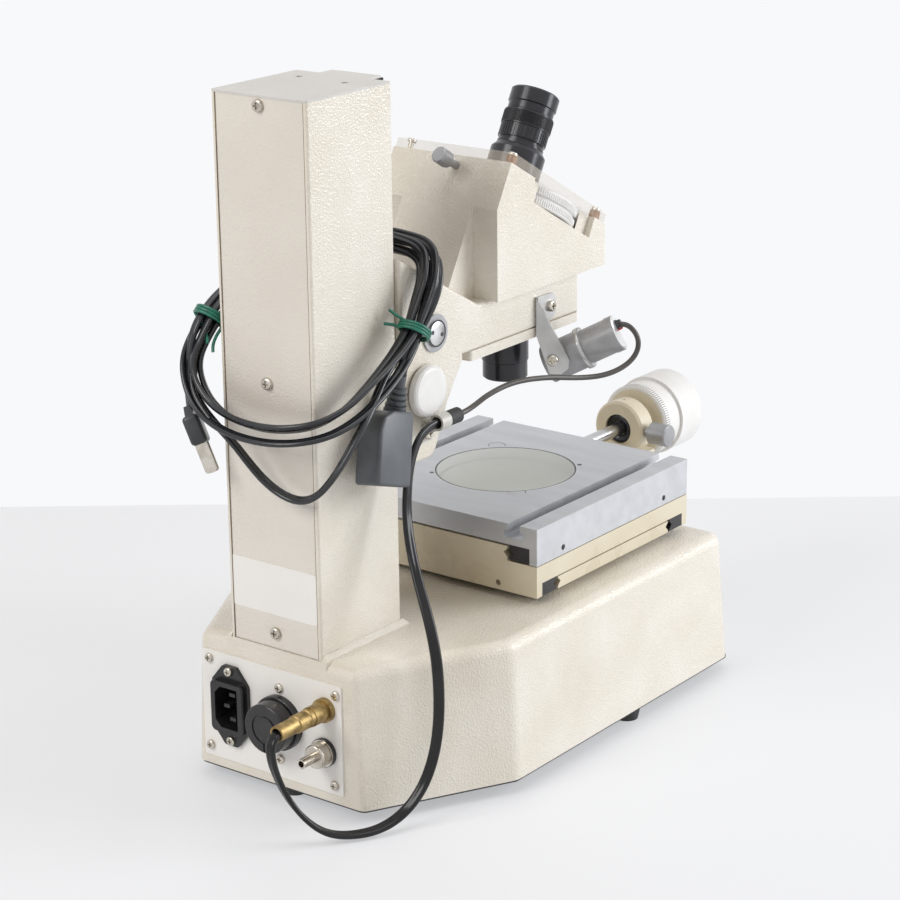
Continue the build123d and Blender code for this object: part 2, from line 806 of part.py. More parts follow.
# Column: a channel, open at the back, with ribs that the cover is screwed to
column_middle_y = (column_front_y + column_rear_y) / 2
column_depth = column_rear_y - column_front_y
channel_front_y = column_front_y + column_wall
cover_face_y = column_rear_y - cover_recess
cover_back_y = cover_face_y - cover_thickness
with BuildPart() as column_casting:
    with BuildSketch(Plane.XY.offset(base_top_z)):
        with Locations((0, column_middle_y)):
            Rectangle(2 * column_half_width, column_depth)
    extrude(amount=column_top_z - base_top_z)
    fillet(column_casting.edges().filter_by(Axis.Z), column_round)
    with BuildSketch(Plane.XY.offset(base_top_z)):
        with Locations((0, (channel_front_y + column_rear_y) / 2)):
            Rectangle(2 * column_inner, column_rear_y - channel_front_y)
    extrude(amount=column_top_z - base_top_z, mode=Mode.SUBTRACT)
    for rib_z in cover_screw_z:
        with BuildSketch(Plane.XY.offset(rib_z - rib_height / 2)):
            with Locations((0, (channel_front_y + cover_back_y) / 2)):
                Rectangle(2 * column_inner, cover_back_y - channel_front_y)
        extrude(amount=rib_height)
        with Locations(on_rear((0, rib_z), cover_back_y)):
            Cylinder(screw_shank_radius + seat_fit, 2 * screw_shank_length, mode=Mode.SUBTRACT)
column_casting.part.label = "column_casting"
export_step(column_casting.part, "parts/column_casting.step")

with BuildPart() as column_cover:
    with BuildSketch(on_rear((0, 0), cover_back_y)):
        with Locations((0, (base_top_z + cover_gap + column_top_z) / 2)):
            Rectangle(2 * (column_inner - cover_gap), column_top_z - base_top_z - cover_gap)
        for rib_z in cover_screw_z:
            with Locations((0, rib_z)):
                Circle(screw_shank_radius + seat_fit, mode=Mode.SUBTRACT)
    extrude(amount=cover_thickness)
column_cover.part.label = "column_cover"
export_step(column_cover.part, "parts/column_cover.step")

with BuildPart() as column_top_plate:
    with BuildSketch(Plane.XY.offset(column_top_z)):
        with Locations((0, column_middle_y)):
            RectangleRounded(2 * column_half_width, column_depth, column_round)
        with Locations((0, (column_tongue_y + column_front_y + column_wall) / 2)):
            Rectangle(2 * column_tongue_half_width, column_front_y + column_wall - column_tongue_y)
        with Locations(*cap_holes):
            Circle(cap_hole_radius, mode=Mode.SUBTRACT)
    extrude(amount=column_cap_thickness)
column_top_plate.part.label = "column_top_plate"
export_step(column_top_plate.part, "parts/column_top_plate.step")

# Screws of the panel, the inlet and the column cover
panel_screw = pan_screw(screw_head_radius, screw_head_height, screw_shank_radius, screw_shank_length)
cover_screw = pan_screw(
    cover_screw_head_radius, cover_screw_head_height, screw_shank_radius, screw_shank_length
)
with BuildPart() as case_screws:
    with Locations(*[on_panel(place) for place in panel_screws]):
        add(panel_screw)
    with Locations(*[on_rear(place, panel_face_y + inlet_flange_thickness) for place in inlet_screws]):
        add(panel_screw)
    with Locations(*[on_rear((0, rib_z), cover_face_y) for rib_z in cover_screw_z]):
        add(cover_screw)
case_screws.part.label = "case_screws"
export_step(case_screws.part, "parts/case_screws.step")

# Guide rail: a dovetail on the column's front, with a groove for the rack
with BuildPart() as guide_rail:
    with BuildSketch(Plane.XY.offset(rail_bottom_z)):
        Polygon(
            (-rail_root_half_width, column_front_y),
            (-rail_front_half_width, rail_front_y),
            (-rack_half_width, rail_front_y),
            (-rack_half_width, rack_back_y),
            (rack_half_width, rack_back_y),
            (rack_half_width, rail_front_y),
            (rail_front_half_width, rail_front_y),
            (rail_root_half_width, column_front_y),
            align=None,
        )
    extrude(amount=column_top_z - rail_bottom_z)
guide_rail.part.label = "guide_rail"
export_step(guide_rail.part, "parts/guide_rail.step")

# Rack: straight teeth whose gap faces the pinion's tooth at rest
gear_pitch = math.pi * gear_module
rack_tip_y = rack_pitch_y - gear_module
rack_root_y = rack_pitch_y + 1.25 * gear_module
flank_lean = math.tan(math.radians(pressure_angle))
tip_half = gear_pitch / 4 - gear_module * flank_lean
root_half = gear_pitch / 4 + 1.25 * gear_module * flank_lean
first_tooth = math.ceil((rack_bottom_z - pinion_axis_z) / gear_pitch)
last_tooth = math.floor((rack_top_z - pinion_axis_z) / gear_pitch) - 1
rack_outline = [(rack_back_y, rack_bottom_z), (rack_root_y, rack_bottom_z)]
for tooth in range(first_tooth, last_tooth + 1):
    tooth_z = pinion_axis_z + gear_pitch * (tooth + 0.5)
    rack_outline.append((rack_root_y, tooth_z - root_half))
    rack_outline.append((rack_tip_y, tooth_z - tip_half))
    rack_outline.append((rack_tip_y, tooth_z + tip_half))
    rack_outline.append((rack_root_y, tooth_z + root_half))
rack_outline.append((rack_root_y, rack_top_z))
rack_outline.append((rack_back_y, rack_top_z))
with BuildPart() as rack:
    with BuildSketch(side_profile):
        Polygon(*rack_outline, align=None)
    extrude(amount=rack_half_width, both=True)
rack.part.label = "rack"
export_step(rack.part, "parts/rack.step")

# Stage, lowest plate. Its two edges carry grooves that run along X.
lower_way_y = plateau_half + way_gap / 2
lower_centres = [(lower_way_y, lower_way_z), (-lower_way_y, lower_way_z)]
upper_centres = [(lower_way_y, upper_way_z), (-lower_way_y, upper_way_z)]
roller_window = (roller_diameter + 0.2, cage_thickness + 0.4, groove_reach * 2 - 0.3)
with BuildPart() as stage_base:
    with BuildSketch(Plane.XY.offset(stage_base_bottom_z)):
        Rectangle(stage_plate_length, 2 * plateau_half)
        Circle(stage_base_bore_radius, mode=Mode.SUBTRACT)
    extrude(amount=stage_base_top_z - stage_base_bottom_z)
    with BuildSketch(Plane.YZ):
        with Locations(*lower_centres):
            RegularPolygon(groove_reach, 4)
    extrude(amount=stage_plate_length, both=True, mode=Mode.SUBTRACT)
stage_base.part.label = "stage_base"
export_step(stage_base.part, "parts/stage_base.step")

# Condenser lens in the top of the base
lens_seat_z = stage_base_bottom_z - lens_thickness
with BuildPart() as condenser_lens:
    with BuildSketch(Plane.XY.offset(lens_seat_z)):
        Circle(lens_radius)
    extrude(amount=lens_thickness)
    crown_radius = (lens_radius**2 + lens_crown**2) / (2 * lens_crown)
    with Locations((0, 0, lens_seat_z + lens_thickness - 0.5 - crown_radius)):
        Sphere(crown_radius, mode=Mode.INTERSECT)
condenser_lens.part.label = "condenser_lens"
export_step(condenser_lens.part, "parts/condenser_lens.step")

# Saddle: web with skirts down at +Y and -Y, and a plateau grooved along Y
with BuildPart() as saddle:
    with BuildSketch(Plane.XY.offset(saddle_web_bottom_z)):
        Rectangle(stage_plate_length, stage_plate_length)
    extrude(amount=saddle_web_top_z - saddle_web_bottom_z)
    with BuildSketch(Plane.XY.offset(saddle_skirt_bottom_z)):
        with Locations((0, (rail_outer + stage_half) / 2), (0, -(rail_outer + stage_half) / 2)):
            Rectangle(stage_plate_length, stage_half - rail_outer)
    extrude(amount=saddle_web_bottom_z - saddle_skirt_bottom_z)
    with BuildSketch(Plane.XY.offset(saddle_web_top_z)):
        Rectangle(2 * plateau_half, stage_plate_length)
    extrude(amount=plateau_top_z - saddle_web_top_z)
    with BuildSketch(Plane.XZ):
        with Locations(*upper_centres):
            RegularPolygon(groove_reach, 4)
    extrude(amount=stage_plate_length, both=True, mode=Mode.SUBTRACT)
    with Locations((0, 0, plateau_top_z)):
        Hole(saddle_bore_radius, plateau_top_z - saddle_web_bottom_z)
    for side in (1, -1):
        for end in (1, -1):
            with Locations(on_rear((saddle_screw_x * end, lower_way_z), side * stage_half)):
                Cylinder(skirt_screw_radius, 2 * (stage_half - rail_outer), mode=Mode.SUBTRACT)
saddle.part.label = "saddle"
export_step(saddle.part, "parts/saddle.step")

rail_inner = plateau_half + way_gap
rail_middle = (rail_inner + rail_outer) / 2
with BuildPart() as x_way_rails:
    with BuildSketch(Plane.XY.offset(saddle_skirt_bottom_z + way_rail_foot_gap)):
        with Locations((0, rail_middle), (0, -rail_middle)):
            Rectangle(stage_plate_length, rail_outer - rail_inner)
    extrude(amount=saddle_web_bottom_z - saddle_skirt_bottom_z - way_rail_foot_gap)
    with BuildSketch(Plane.YZ):
        with Locations(*lower_centres):
            RegularPolygon(groove_reach, 4)
    extrude(amount=stage_plate_length, both=True, mode=Mode.SUBTRACT)
x_way_rails.part.label = "x_way_rails"
export_step(x_way_rails.part, "parts/x_way_rails.step")


def roller_row(count):
    """Crossed rollers in their cage along X, centred on the origin, with the groove faces at +Y and -Y."""
    row_length = (count - 1) * roller_pitch
    with BuildPart() as cage_strip:
        Box(row_length + roller_pitch * 0.8, cage_thickness, cage_height)
        with GridLocations(roller_pitch, 1, count, 1):
            Box(*roller_window, mode=Mode.SUBTRACT)
    row = [cage_strip.part.solid()]
    for index in range(count):
        lean = 1 if index % 2 else -1
        with BuildPart() as roller:
            spot = Plane(
                origin=(index * roller_pitch - row_length / 2, 0, 0),
                z_dir=(0, lean, 1),
            )
            with BuildSketch(spot):
                Circle(roller_diameter / 2)
            extrude(amount=roller_length / 2, both=True)
        row.append(roller.part.solid())
    return row


way_row = roller_row(rollers_per_way)
with BuildPart() as x_way_rollers:
    with Locations(*[(0, way_y, way_z) for way_y, way_z in lower_centres]):
        add(way_row)
x_way_rollers.part.label = "x_way_rollers"
export_step(x_way_rollers.part, "parts/x_way_rollers.step")

with BuildPart() as y_way_rollers:
    for way_x, way_z in upper_centres:
        with Locations(Plane(origin=(way_x, 0, way_z), x_dir=(0, 1, 0), z_dir=(0, 0, 1))):
            add(way_row)
y_way_rollers.part.label = "y_way_rollers"
export_step(y_way_rollers.part, "parts/y_way_rollers.step")

# Stage top: web with skirts down at +X and -X, two T-slots and the seat of the glass
tee_width = slot_outer_x - slot_inner_x + 2 * slot_tee_side
slot_x = (slot_inner_x + slot_outer_x) / 2
with BuildPart() as stage_top:
    with BuildSketch(Plane.XY.offset(top_web_bottom_z)):
        Rectangle(stage_plate_length, stage_plate_length)
    extrude(amount=stage_top_z - top_web_bottom_z)
    with BuildSketch(Plane.XY.offset(top_skirt_bottom_z)):
        with Locations(((rail_outer + stage_half) / 2, 0), (-(rail_outer + stage_half) / 2, 0)):
            Rectangle(stage_half - rail_outer, stage_plate_length)
    extrude(amount=top_web_bottom_z - top_skirt_bottom_z)
    with BuildSketch(Plane.XY.offset(stage_top_z)):
        with Locations((slot_x, 0), (-slot_x, 0)):
            Rectangle(slot_outer_x - slot_inner_x, stage_plate_length)
    extrude(amount=-slot_neck_depth, mode=Mode.SUBTRACT)
    with BuildSketch(Plane.XY.offset(stage_top_z - slot_neck_depth)):
        with Locations((slot_x, 0), (-slot_x, 0)):
            Rectangle(tee_width, stage_plate_length)
    extrude(amount=-slot_tee_depth, mode=Mode.SUBTRACT)
    with Locations((0, 0, stage_top_z)):
        CounterBoreHole(glass_radius - glass_ledge, glass_radius + seat_fit, glass_thickness)
    with Locations(*[(x, y, stage_top_z) for x, y in recess_places]):
        Hole(recess_radius, recess_depth)
    with Locations(*[(x, y, stage_top_z) for x, y in tapped_places]):
        Hole(tapped_radius, tapped_depth)
    for side in (1, -1):
        for end in (1, -1):
            with Locations(facing((side * stage_half, end * skirt_screw_y, upper_way_z), (1, 0, 0))):
                Cylinder(skirt_screw_radius, 2 * (stage_half - rail_outer), mode=Mode.SUBTRACT)
stage_top.part.label = "stage_top"
export_step(stage_top.part, "parts/stage_top.step")

with BuildPart() as stage_glass:
    with BuildSketch(Plane.XY.offset(stage_top_z - glass_thickness)):
        Circle(glass_radius)
    extrude(amount=glass_thickness)
    chamfer(stage_glass.edges().filter_by(GeomType.CIRCLE), 0.4)
stage_glass.part.label = "stage_glass"
export_step(stage_glass.part, "parts/stage_glass.step")

with BuildPart() as y_way_rails:
    with BuildSketch(Plane.XY.offset(top_web_bottom_z)):
        with Locations((rail_middle, 0), (-rail_middle, 0)):
            Rectangle(rail_outer - rail_inner, stage_plate_length)
    extrude(amount=-(top_web_bottom_z - top_skirt_bottom_z - 2 * way_rail_foot_gap))
    with BuildSketch(Plane.XZ):
        with Locations(*upper_centres):
            RegularPolygon(groove_reach, 4)
    extrude(amount=stage_plate_length, both=True, mode=Mode.SUBTRACT)
y_way_rails.part.label = "y_way_rails"
export_step(y_way_rails.part, "parts/y_way_rails.step")


def micrometer_sleeve(axis):
    """Fixed sleeve in the bracket's ring, with a hole for the lock screw's tip."""
    sleeve_start = bracket_ring_front + bracket_recess
    with BuildPart() as sleeve:
        add(
            turned(
                axis,
                [
                    (spindle_radius + sliding_fit, sleeve_start),
                    (sleeve_radius, sleeve_start),
                    (sleeve_radius, sleeve_end),
                    (spindle_radius + sliding_fit, sleeve_end),
                ],
            )
        )
        add(lock_bore(axis), mode=Mode.SUBTRACT)
    return sleeve.part


def lock_bore(axis):
    """The radial hole that the lock screw passes through, on the bracket's left side."""
    entry = axis.origin + axis.z_dir * lock_offset
    with BuildPart() as bore:
        with BuildSketch(Plane(origin=entry, z_dir=lock_side(axis))):
            Circle(lock_shank_radius + sliding_fit)
        extrude(amount=bracket_ring_radius + 2)
    return bore.part


def lock_side(axis):
    """The side that the lock screw stands out on, level and square to the spindle."""
    return axis.z_dir.cross(Vector(0, 0, 1))


def micrometer_bracket(axis, foot_start, foot_top, foot_bottom, lug_rise):
    """A ring that holds the sleeve, on a foot that runs back to the stage plate."""
    level = Plane(origin=(axis.origin.X, axis.origin.Y, 0), x_dir=lock_side(axis), z_dir=(0, 0, 1))
    along = axis.z_dir.dot(level.y_dir)
    ring_middle = (bracket_ring_front + bracket_ring_back) / 2
    ring_length = bracket_ring_back - bracket_ring_front
    with BuildPart() as bracket:
        with BuildSketch(level.offset(foot_bottom)):
            with Locations((0, along * (foot_start + bracket_ring_back) / 2)):
                Rectangle(2 * bracket_foot_half, bracket_ring_back - foot_start)
        extrude(amount=foot_top - foot_bottom)
        with BuildSketch(level.offset(foot_top)):
            with Locations((0, along * ring_middle)):
                Rectangle(2 * bracket_web_half, ring_length)
        extrude(amount=axis.origin.Z - foot_top)
        with BuildSketch(level.offset(foot_top)):
            with Locations((bracket_foot_half - lug_width / 2, along * (bracket_ring_back - lug_depth / 2 - 1))):
                RectangleRounded(lug_width, lug_depth, 2)
        extrude(amount=lug_rise)
        add(
            turned(
                axis,
                [
                    (0, bracket_ring_front),
                    (bracket_ring_radius - bracket_edge, bracket_ring_front),
                    (bracket_ring_radius, bracket_ring_front + bracket_edge),
                    (bracket_ring_radius, bracket_ring_back),
                    (0, bracket_ring_back),
                ],
            )
        )
        with BuildSketch(axis.offset(bracket_ring_front)):
            Circle(bracket_recess_radius)
        extrude(amount=bracket_recess, mode=Mode.SUBTRACT)
        with BuildSketch(axis.offset(bracket_ring_front)):
            Circle(sleeve_radius)
        extrude(amount=ring_length, mode=Mode.SUBTRACT)
        with BuildSketch(level.offset(axis.origin.Z + sleeve_radius)):
            with Locations((0, along * ring_middle)):
                Circle(bracket_oil_radius)
        extrude(amount=bracket_ring_radius, mode=Mode.SUBTRACT)
        add(lock_bore(axis), mode=Mode.SUBTRACT)
    return bracket.part


def micrometer_drum(axis):
    """The graduated drum: a front disc, a step and an end wall on the spindle."""
    return turned(
        axis,
        [
            (sleeve_radius + 0.3, drum_front),
            (drum_front_radius - 1, drum_front),
            (drum_front_radius, drum_front + 1),
            (drum_front_radius, drum_step),
            (drum_back_radius, drum_step),
            (drum_back_radius, drum_back - 1),
            (drum_back_radius - 1, drum_back),
            (spindle_radius + sliding_fit, drum_back),
            (spindle_radius + sliding_fit, drum_back - drum_end_wall),
            (sleeve_radius + 0.3, drum_back - drum_end_wall),
        ],
    )


def micrometer_lock(axis):
    """The knurled clamp screw of a spindle."""
    entry = axis.origin + axis.z_dir * lock_offset
    return turned(
        Plane(origin=entry, z_dir=lock_side(axis)),
        [
            (0, spindle_radius + 0.3),
            (lock_shank_radius, spindle_radius + 0.3),
            (lock_shank_radius, lock_neck_start),
            (lock_neck_radius, lock_neck_start),
            (lock_neck_radius, lock_head_start),
            (lock_head_radius, lock_head_start),
            (lock_head_radius, lock_head_end - 0.8),
            (lock_head_radius - 0.8, lock_head_end),
            (0, lock_head_end),
        ],
    )


y_screw_axis = Plane(origin=(0, 0, y_spindle_z), x_dir=(1, 0, 0), z_dir=(0, -1, 0))
x_screw_axis = Plane(origin=(0, 0, x_spindle_z), x_dir=(0, 1, 0), z_dir=(1, 0, 0))
spindle_end = drum_back - 1

# Micrometer that pushes the stage top along Y, carried by the saddle
with BuildPart() as y_bracket:
    add(
        micrometer_bracket(
            y_screw_axis, stage_half, saddle_web_top_z - 1.3, saddle_web_bottom_z, y_lug_rise
        )
    )
y_bracket.part.label = "y_bracket"
export_step(y_bracket.part, "parts/y_bracket.step")

with BuildPart() as y_sleeve:
    add(micrometer_sleeve(y_screw_axis))
y_sleeve.part.label = "y_sleeve"
export_step(y_sleeve.part, "parts/y_sleeve.step")

with BuildPart() as y_spindle:
    with BuildSketch(y_screw_axis.offset(stage_half)):
        Circle(spindle_radius)
    extrude(amount=spindle_end - stage_half)
y_spindle.part.label = "y_spindle"
export_step(y_spindle.part, "parts/y_spindle.step")

with BuildPart() as y_thimble:
    add(micrometer_drum(y_screw_axis))
y_thimble.part.label = "y_thimble"
export_step(y_thimble.part, "parts/y_thimble.step")

with BuildPart() as y_lock_screw:
    add(micrometer_lock(y_screw_axis))
y_lock_screw.part.label = "y_lock_screw"
export_step(y_lock_screw.part, "parts/y_lock_screw.step")

# Micrometer that pushes the saddle along X, carried by the lowest plate
with BuildPart() as x_bracket:
    add(
        micrometer_bracket(
            x_screw_axis, stage_half, stage_base_top_z, stage_base_top_z - bracket_foot_height, x_lug_rise
        )
    )
x_bracket.part.label = "x_bracket"
export_step(x_bracket.part, "parts/x_bracket.step")

with BuildPart() as x_sleeve:
    add(micrometer_sleeve(x_screw_axis))
x_sleeve.part.label = "x_sleeve"
export_step(x_sleeve.part, "parts/x_sleeve.step")

with BuildPart() as x_spindle:
    with BuildSketch(x_screw_axis.offset(stage_half)):
        Circle(spindle_radius)
    extrude(amount=spindle_end - stage_half)
x_spindle.part.label = "x_spindle"
export_step(x_spindle.part, "parts/x_spindle.step")

with BuildPart() as x_thimble:
    add(micrometer_drum(x_screw_axis))
x_thimble.part.label = "x_thimble"
export_step(x_thimble.part, "parts/x_thimble.step")

with BuildPart() as x_lock_screw:
    add(micrometer_lock(x_screw_axis))
x_lock_screw.part.label = "x_lock_screw"
export_step(x_lock_screw.part, "parts/x_lock_screw.step")

# Head casting: lower arm with the carriage, the tilted box and the wedge between them
arm_underside_y = 84.6
arm_underside_z = 221.0
carriage_low_y = 111.0
arm_slope_rise = (carriage_rear_y - arm_slope_start_y) * math.tan(slope)
with BuildPart() as head_casting:
    with BuildSketch(side_profile):
        with BuildLine():
            Polyline(
                (arm_front_y, arm_bottom_z),
                (arm_front_y, box_bottom_z + 2),
                (arm_slope_start_y, box_bottom_z),
                (carriage_rear_y, box_bottom_z + arm_slope_rise),
                (carriage_rear_y, carriage_bottom_z),
                (carriage_low_y, carriage_bottom_z),
                arm_knee,
                (arm_underside_y, arm_underside_z),
                (arm_underside_y, arm_bottom_z),
                close=True,
            )
        make_face()
        low_corner = vertices().group_by(Axis.Y)[0].sort_by(Axis.X)[0]
        fillet(low_corner, arm_nose_round)
    extrude(amount=arm_half_width, both=True)
    fillet(head_casting.faces().group_by(Axis.X)[0].edges(), head_edge_round)
    fillet(head_casting.faces().group_by(Axis.X)[-1].edges(), head_edge_round)
    with BuildSketch(side_profile):
        Polygon(
            (box_front_y, box_bottom_z),
            (box_front_y, box_front_top_z),
            (box_rear_top_y, box_rear_top_z),
            (box_rear_low_y, box_rear_low_z),
            (box_rear_low_y, box_bottom_z),
            align=None,
        )
    extrude(amount=box_half_width, both=True)
    with BuildSketch(side_profile):
        Polygon(
            (box_rear_low_y - 15, box_bottom_z),
            (box_rear_low_y - 15, box_rear_low_z - 4),
            (box_rear_low_y, box_rear_low_z),
            (wedge_low_y, wedge_low_z),
            (wedge_low_y - 6, box_bottom_z),
            align=None,
        )
    extrude(amount=wedge_half_width, both=True)
    # Dial pocket with its bearing bore, and the window in each side
    with BuildSketch(box_top):
        Circle(dial_pocket_radius)
    extrude(amount=-(dial_thickness + 2 * dial_gap), mode=Mode.SUBTRACT)
    with BuildSketch(box_top):
        Circle(dial_hub_radius + sliding_fit)
    extrude(amount=-(dial_thickness + dial_hub_length + 2 * dial_gap), mode=Mode.SUBTRACT)
    with BuildSketch(box_top):
        with Locations((box_half_width, 0), (-box_half_width, 0)):
            Rectangle(8, window_length)
    extrude(amount=-window_depth, mode=Mode.SUBTRACT)
    # Light path: up from the objective, then along the tilted axis
    with BuildSketch(Plane.XY.offset(arm_bottom_z)):
        Circle(sight_bore_radius)
    extrude(amount=dial_axis_z - arm_bottom_z - 20, mode=Mode.SUBTRACT)
    with BuildSketch(box_top):
        Circle(sight_bore_radius)
    extrude(amount=-40, mode=Mode.SUBTRACT)
    # Hollow above the objective plate
    with BuildSketch(Plane.XY.offset(arm_bottom_z)):
        with Locations((0, (arm_front_y + plate_rear_y) / 2)):
            Rectangle(2 * arm_half_width - 14, plate_rear_y - arm_front_y - 14)
    extrude(amount=18, mode=Mode.SUBTRACT)
    # Dovetail slot, groove for the rack, pocket of the pinion and bore of its shaft
    with BuildSketch(Plane.XY.offset(carriage_bottom_z)):
        Polygon(
            (-rail_root_half_width - dovetail_clear, column_front_y + 2),
            (-rail_front_half_width - dovetail_clear, rail_front_y - sliding_fit),
            (-rack_half_width - running_gap, rail_front_y - sliding_fit),
            (-rack_half_width - running_gap, rack_tip_y - running_gap),
            (rack_half_width + running_gap, rack_tip_y - running_gap),
            (rack_half_width + running_gap, rail_front_y - sliding_fit),
            (rail_front_half_width + dovetail_clear, rail_front_y - sliding_fit),
            (rail_root_half_width + dovetail_clear, column_front_y + 2),
            align=None,
        )
    extrude(amount=carriage_top_z - carriage_bottom_z + 5, mode=Mode.SUBTRACT)
    pinion_place = Plane(origin=(0, pinion_axis_y, pinion_axis_z), x_dir=(0, 1, 0), z_dir=(1, 0, 0))
    with Locations(pinion_place):
        Cylinder(
            pinion_pitch_radius + 2 * gear_module,
            2 * (rack_half_width + running_gap),
            mode=Mode.SUBTRACT,
        )
        Cylinder(focus_shaft_radius + sliding_fit, 2 * arm_half_width + 2, mode=Mode.SUBTRACT)
    # Seats of the caps, on both sides
    for side in (1, -1):
        with BuildSketch(facing((side * arm_half_width, *cap_place), (side, 0, 0))):
            Circle(cap_seat_radius)
        extrude(amount=-cap_seat_depth, mode=Mode.SUBTRACT)
    # Hole of the dial clamp screw
    with BuildSketch(clamp_plane):
        Circle(clamp_shank_radius + sliding_fit)
    extrude(amount=-(box_slope_length - dial_axis_run - dial_radius + 6), mode=Mode.SUBTRACT)
    # Holes of the cover's screws, the lamp bracket's screw and the cord clip's screw
    with Locations(*[box_top.offset(0) * Location((x, y, 0)) for x, y in acrylic_screws]):
        Cylinder(screw_shank_radius + seat_fit, 2 * screw_shank_length, mode=Mode.SUBTRACT)
    for place in (tab_screw, clip_screw):
        with Locations(facing((-arm_half_width, *place), (-1, 0, 0))):
            Cylinder(screw_shank_radius + seat_fit, 2 * screw_shank_length, mode=Mode.SUBTRACT)
head_casting.part.label = "head_casting"
export_step(head_casting.part, "parts/head_casting.step")

# Plate that closes the arm from below and carries the objective
with BuildPart() as objective_plate:
    with BuildSketch(Plane.XY.offset(plate_bottom_z)):
        with Locations((0, (arm_front_y + plate_rear_y) / 2)):
            Rectangle(2 * arm_half_width, plate_rear_y - arm_front_y)
        Circle(objective_thread_radius + seat_fit, mode=Mode.SUBTRACT)
    extrude(amount=arm_bottom_z - plate_bottom_z)
    fillet(objective_plate.edges().filter_by(Axis.Z).group_by(Axis.Y)[0], 2)
    fillet(objective_plate.edges().filter_by(Axis.Z).group_by(Axis.Y)[-1], 2)
objective_plate.part.label = "objective_plate"
export_step(objective_plate.part, "parts/objective_plate.step")

# Objective: two stepped diameters, a thread in the plate and a lens set back in the nose
with BuildPart() as objective:
    add(
        turned(
            Plane.XY,
            [
                (objective_bore_radius, objective_bottom_z),
                (objective_nose_radius - 0.8, objective_bottom_z),
                (objective_nose_radius, objective_bottom_z + 0.8),
                (objective_nose_radius, objective_step_z),
                (objective_radius, objective_step_z + 0.6),
                (objective_radius, plate_bottom_z),
                (objective_thread_radius, plate_bottom_z),
                (objective_thread_radius, arm_bottom_z + 2),
                (objective_bore_radius, arm_bottom_z + 2),
                (objective_bore_radius, objective_bottom_z + objective_lens_recess + 4),
                (0, objective_bottom_z + objective_lens_recess + 4),
                (0, objective_bottom_z + objective_lens_recess - 1),
                (objective_bore_radius, objective_bottom_z + objective_lens_recess),
            ],
        )
    )
objective.part.label = "objective"
export_step(objective.part, "parts/objective.step")

# Angle dial: two knurled bands with a groove between them, on a hub
dial_top = -dial_gap
dial_bottom = dial_top - dial_thickness
dial_middle = (dial_top + dial_bottom) / 2
with BuildPart() as angle_dial:
    add(
        turned(
            box_top,
            [
                (dial_bore_radius, dial_top),
                (dial_radius - 0.6, dial_top),
                (dial_radius, dial_top - 0.6),
                (dial_radius, dial_middle + dial_groove_width / 2),
                (dial_radius - dial_groove_depth, dial_middle + dial_groove_width / 2),
                (dial_radius - dial_groove_depth, dial_middle - dial_groove_width / 2),
                (dial_radius, dial_middle - dial_groove_width / 2),
                (dial_radius, dial_bottom + 0.6),
                (dial_radius - 0.6, dial_bottom),
                (dial_hub_radius, dial_bottom),
                (dial_hub_radius, dial_bottom - dial_hub_length),
                (dial_bore_radius, dial_bottom - dial_hub_length),
            ],
        )
    )
angle_dial.part.label = "angle_dial"
export_step(angle_dial.part, "parts/angle_dial.step")

# Clear cover on the box, with the bore that the eyepiece tube stands in
cover_middle = (box_slope_length - 2 * dial_axis_run) / 2
with BuildPart() as dial_cover:
    with BuildSketch(box_top):
        with Locations((0, cover_middle)):
            RectangleRounded(2 * box_half_width, box_slope_length, acrylic_corner)
        Circle(eyepiece_spigot_radius + seat_fit, mode=Mode.SUBTRACT)
        with Locations(*acrylic_screws):
            Circle(screw_shank_radius + seat_fit, mode=Mode.SUBTRACT)
    extrude(amount=acrylic_thickness)
    chamfer(dial_cover.faces().sort_by(Axis(box_top.origin, box_top.z_dir))[-1].outer_wire().edges(), 0.5)
dial_cover.part.label = "dial_cover"
export_step(dial_cover.part, "parts/dial_cover.step")

# Eyepiece tube, from its spigot in the cover to the barrel under the diopter ring
with BuildPart() as eyepiece_tube:
    add(
        turned(
            cover_top,
            [
                (eyepiece_bore_radius, -acrylic_thickness),
                (eyepiece_spigot_radius, -acrylic_thickness),
                (eyepiece_spigot_radius, 0),
                (flange_radius, 0),
                (flange_radius, flange_height),
                (cone_radius, cone_top),
                (cone_radius, eye_groove_bottom),
                (eye_groove_radius, eye_groove_bottom),
                (eye_groove_radius, eye_groove_top),
                (barrel_radius, eye_groove_top),
                (barrel_radius, barrel_top),
                (diopter_sleeve_radius, barrel_top),
                (diopter_sleeve_radius, diopter_top),
                (eyepiece_bore_radius, diopter_top),
            ],
        )
    )
eyepiece_tube.part.label = "eyepiece_tube"
export_step(eyepiece_tube.part, "parts/eyepiece_tube.step")

# Diopter ring with the neck, the eyecup and the eye lens
ring_start = barrel_top + 0.2
lens_low = diopter_top + 0.6
with BuildPart() as diopter_ring:
    add(
        turned(
            cover_top,
            [
                (diopter_sleeve_radius + sliding_fit, ring_start),
                (diopter_radius, ring_start),
                (diopter_radius, diopter_top),
                (neck_radius, diopter_top + 0.6),
                (neck_radius, neck_top),
                (eyecup_radius, neck_top + 0.6),
                (eyecup_radius, eyecup_top - 1),
                (eyecup_radius - 1, eyecup_top),
                (eyecup_bore_radius + 1, eyecup_top),
                (eyecup_bore_radius, eyecup_top - 3),
                (eyecup_bore_radius, neck_top + 1),
                (0, neck_top + 2),
                (0, lens_low),
                (diopter_sleeve_radius + sliding_fit, lens_low),
            ],
        )
    )
diopter_ring.part.label = "diopter_ring"
export_step(diopter_ring.part, "parts/diopter_ring.step")

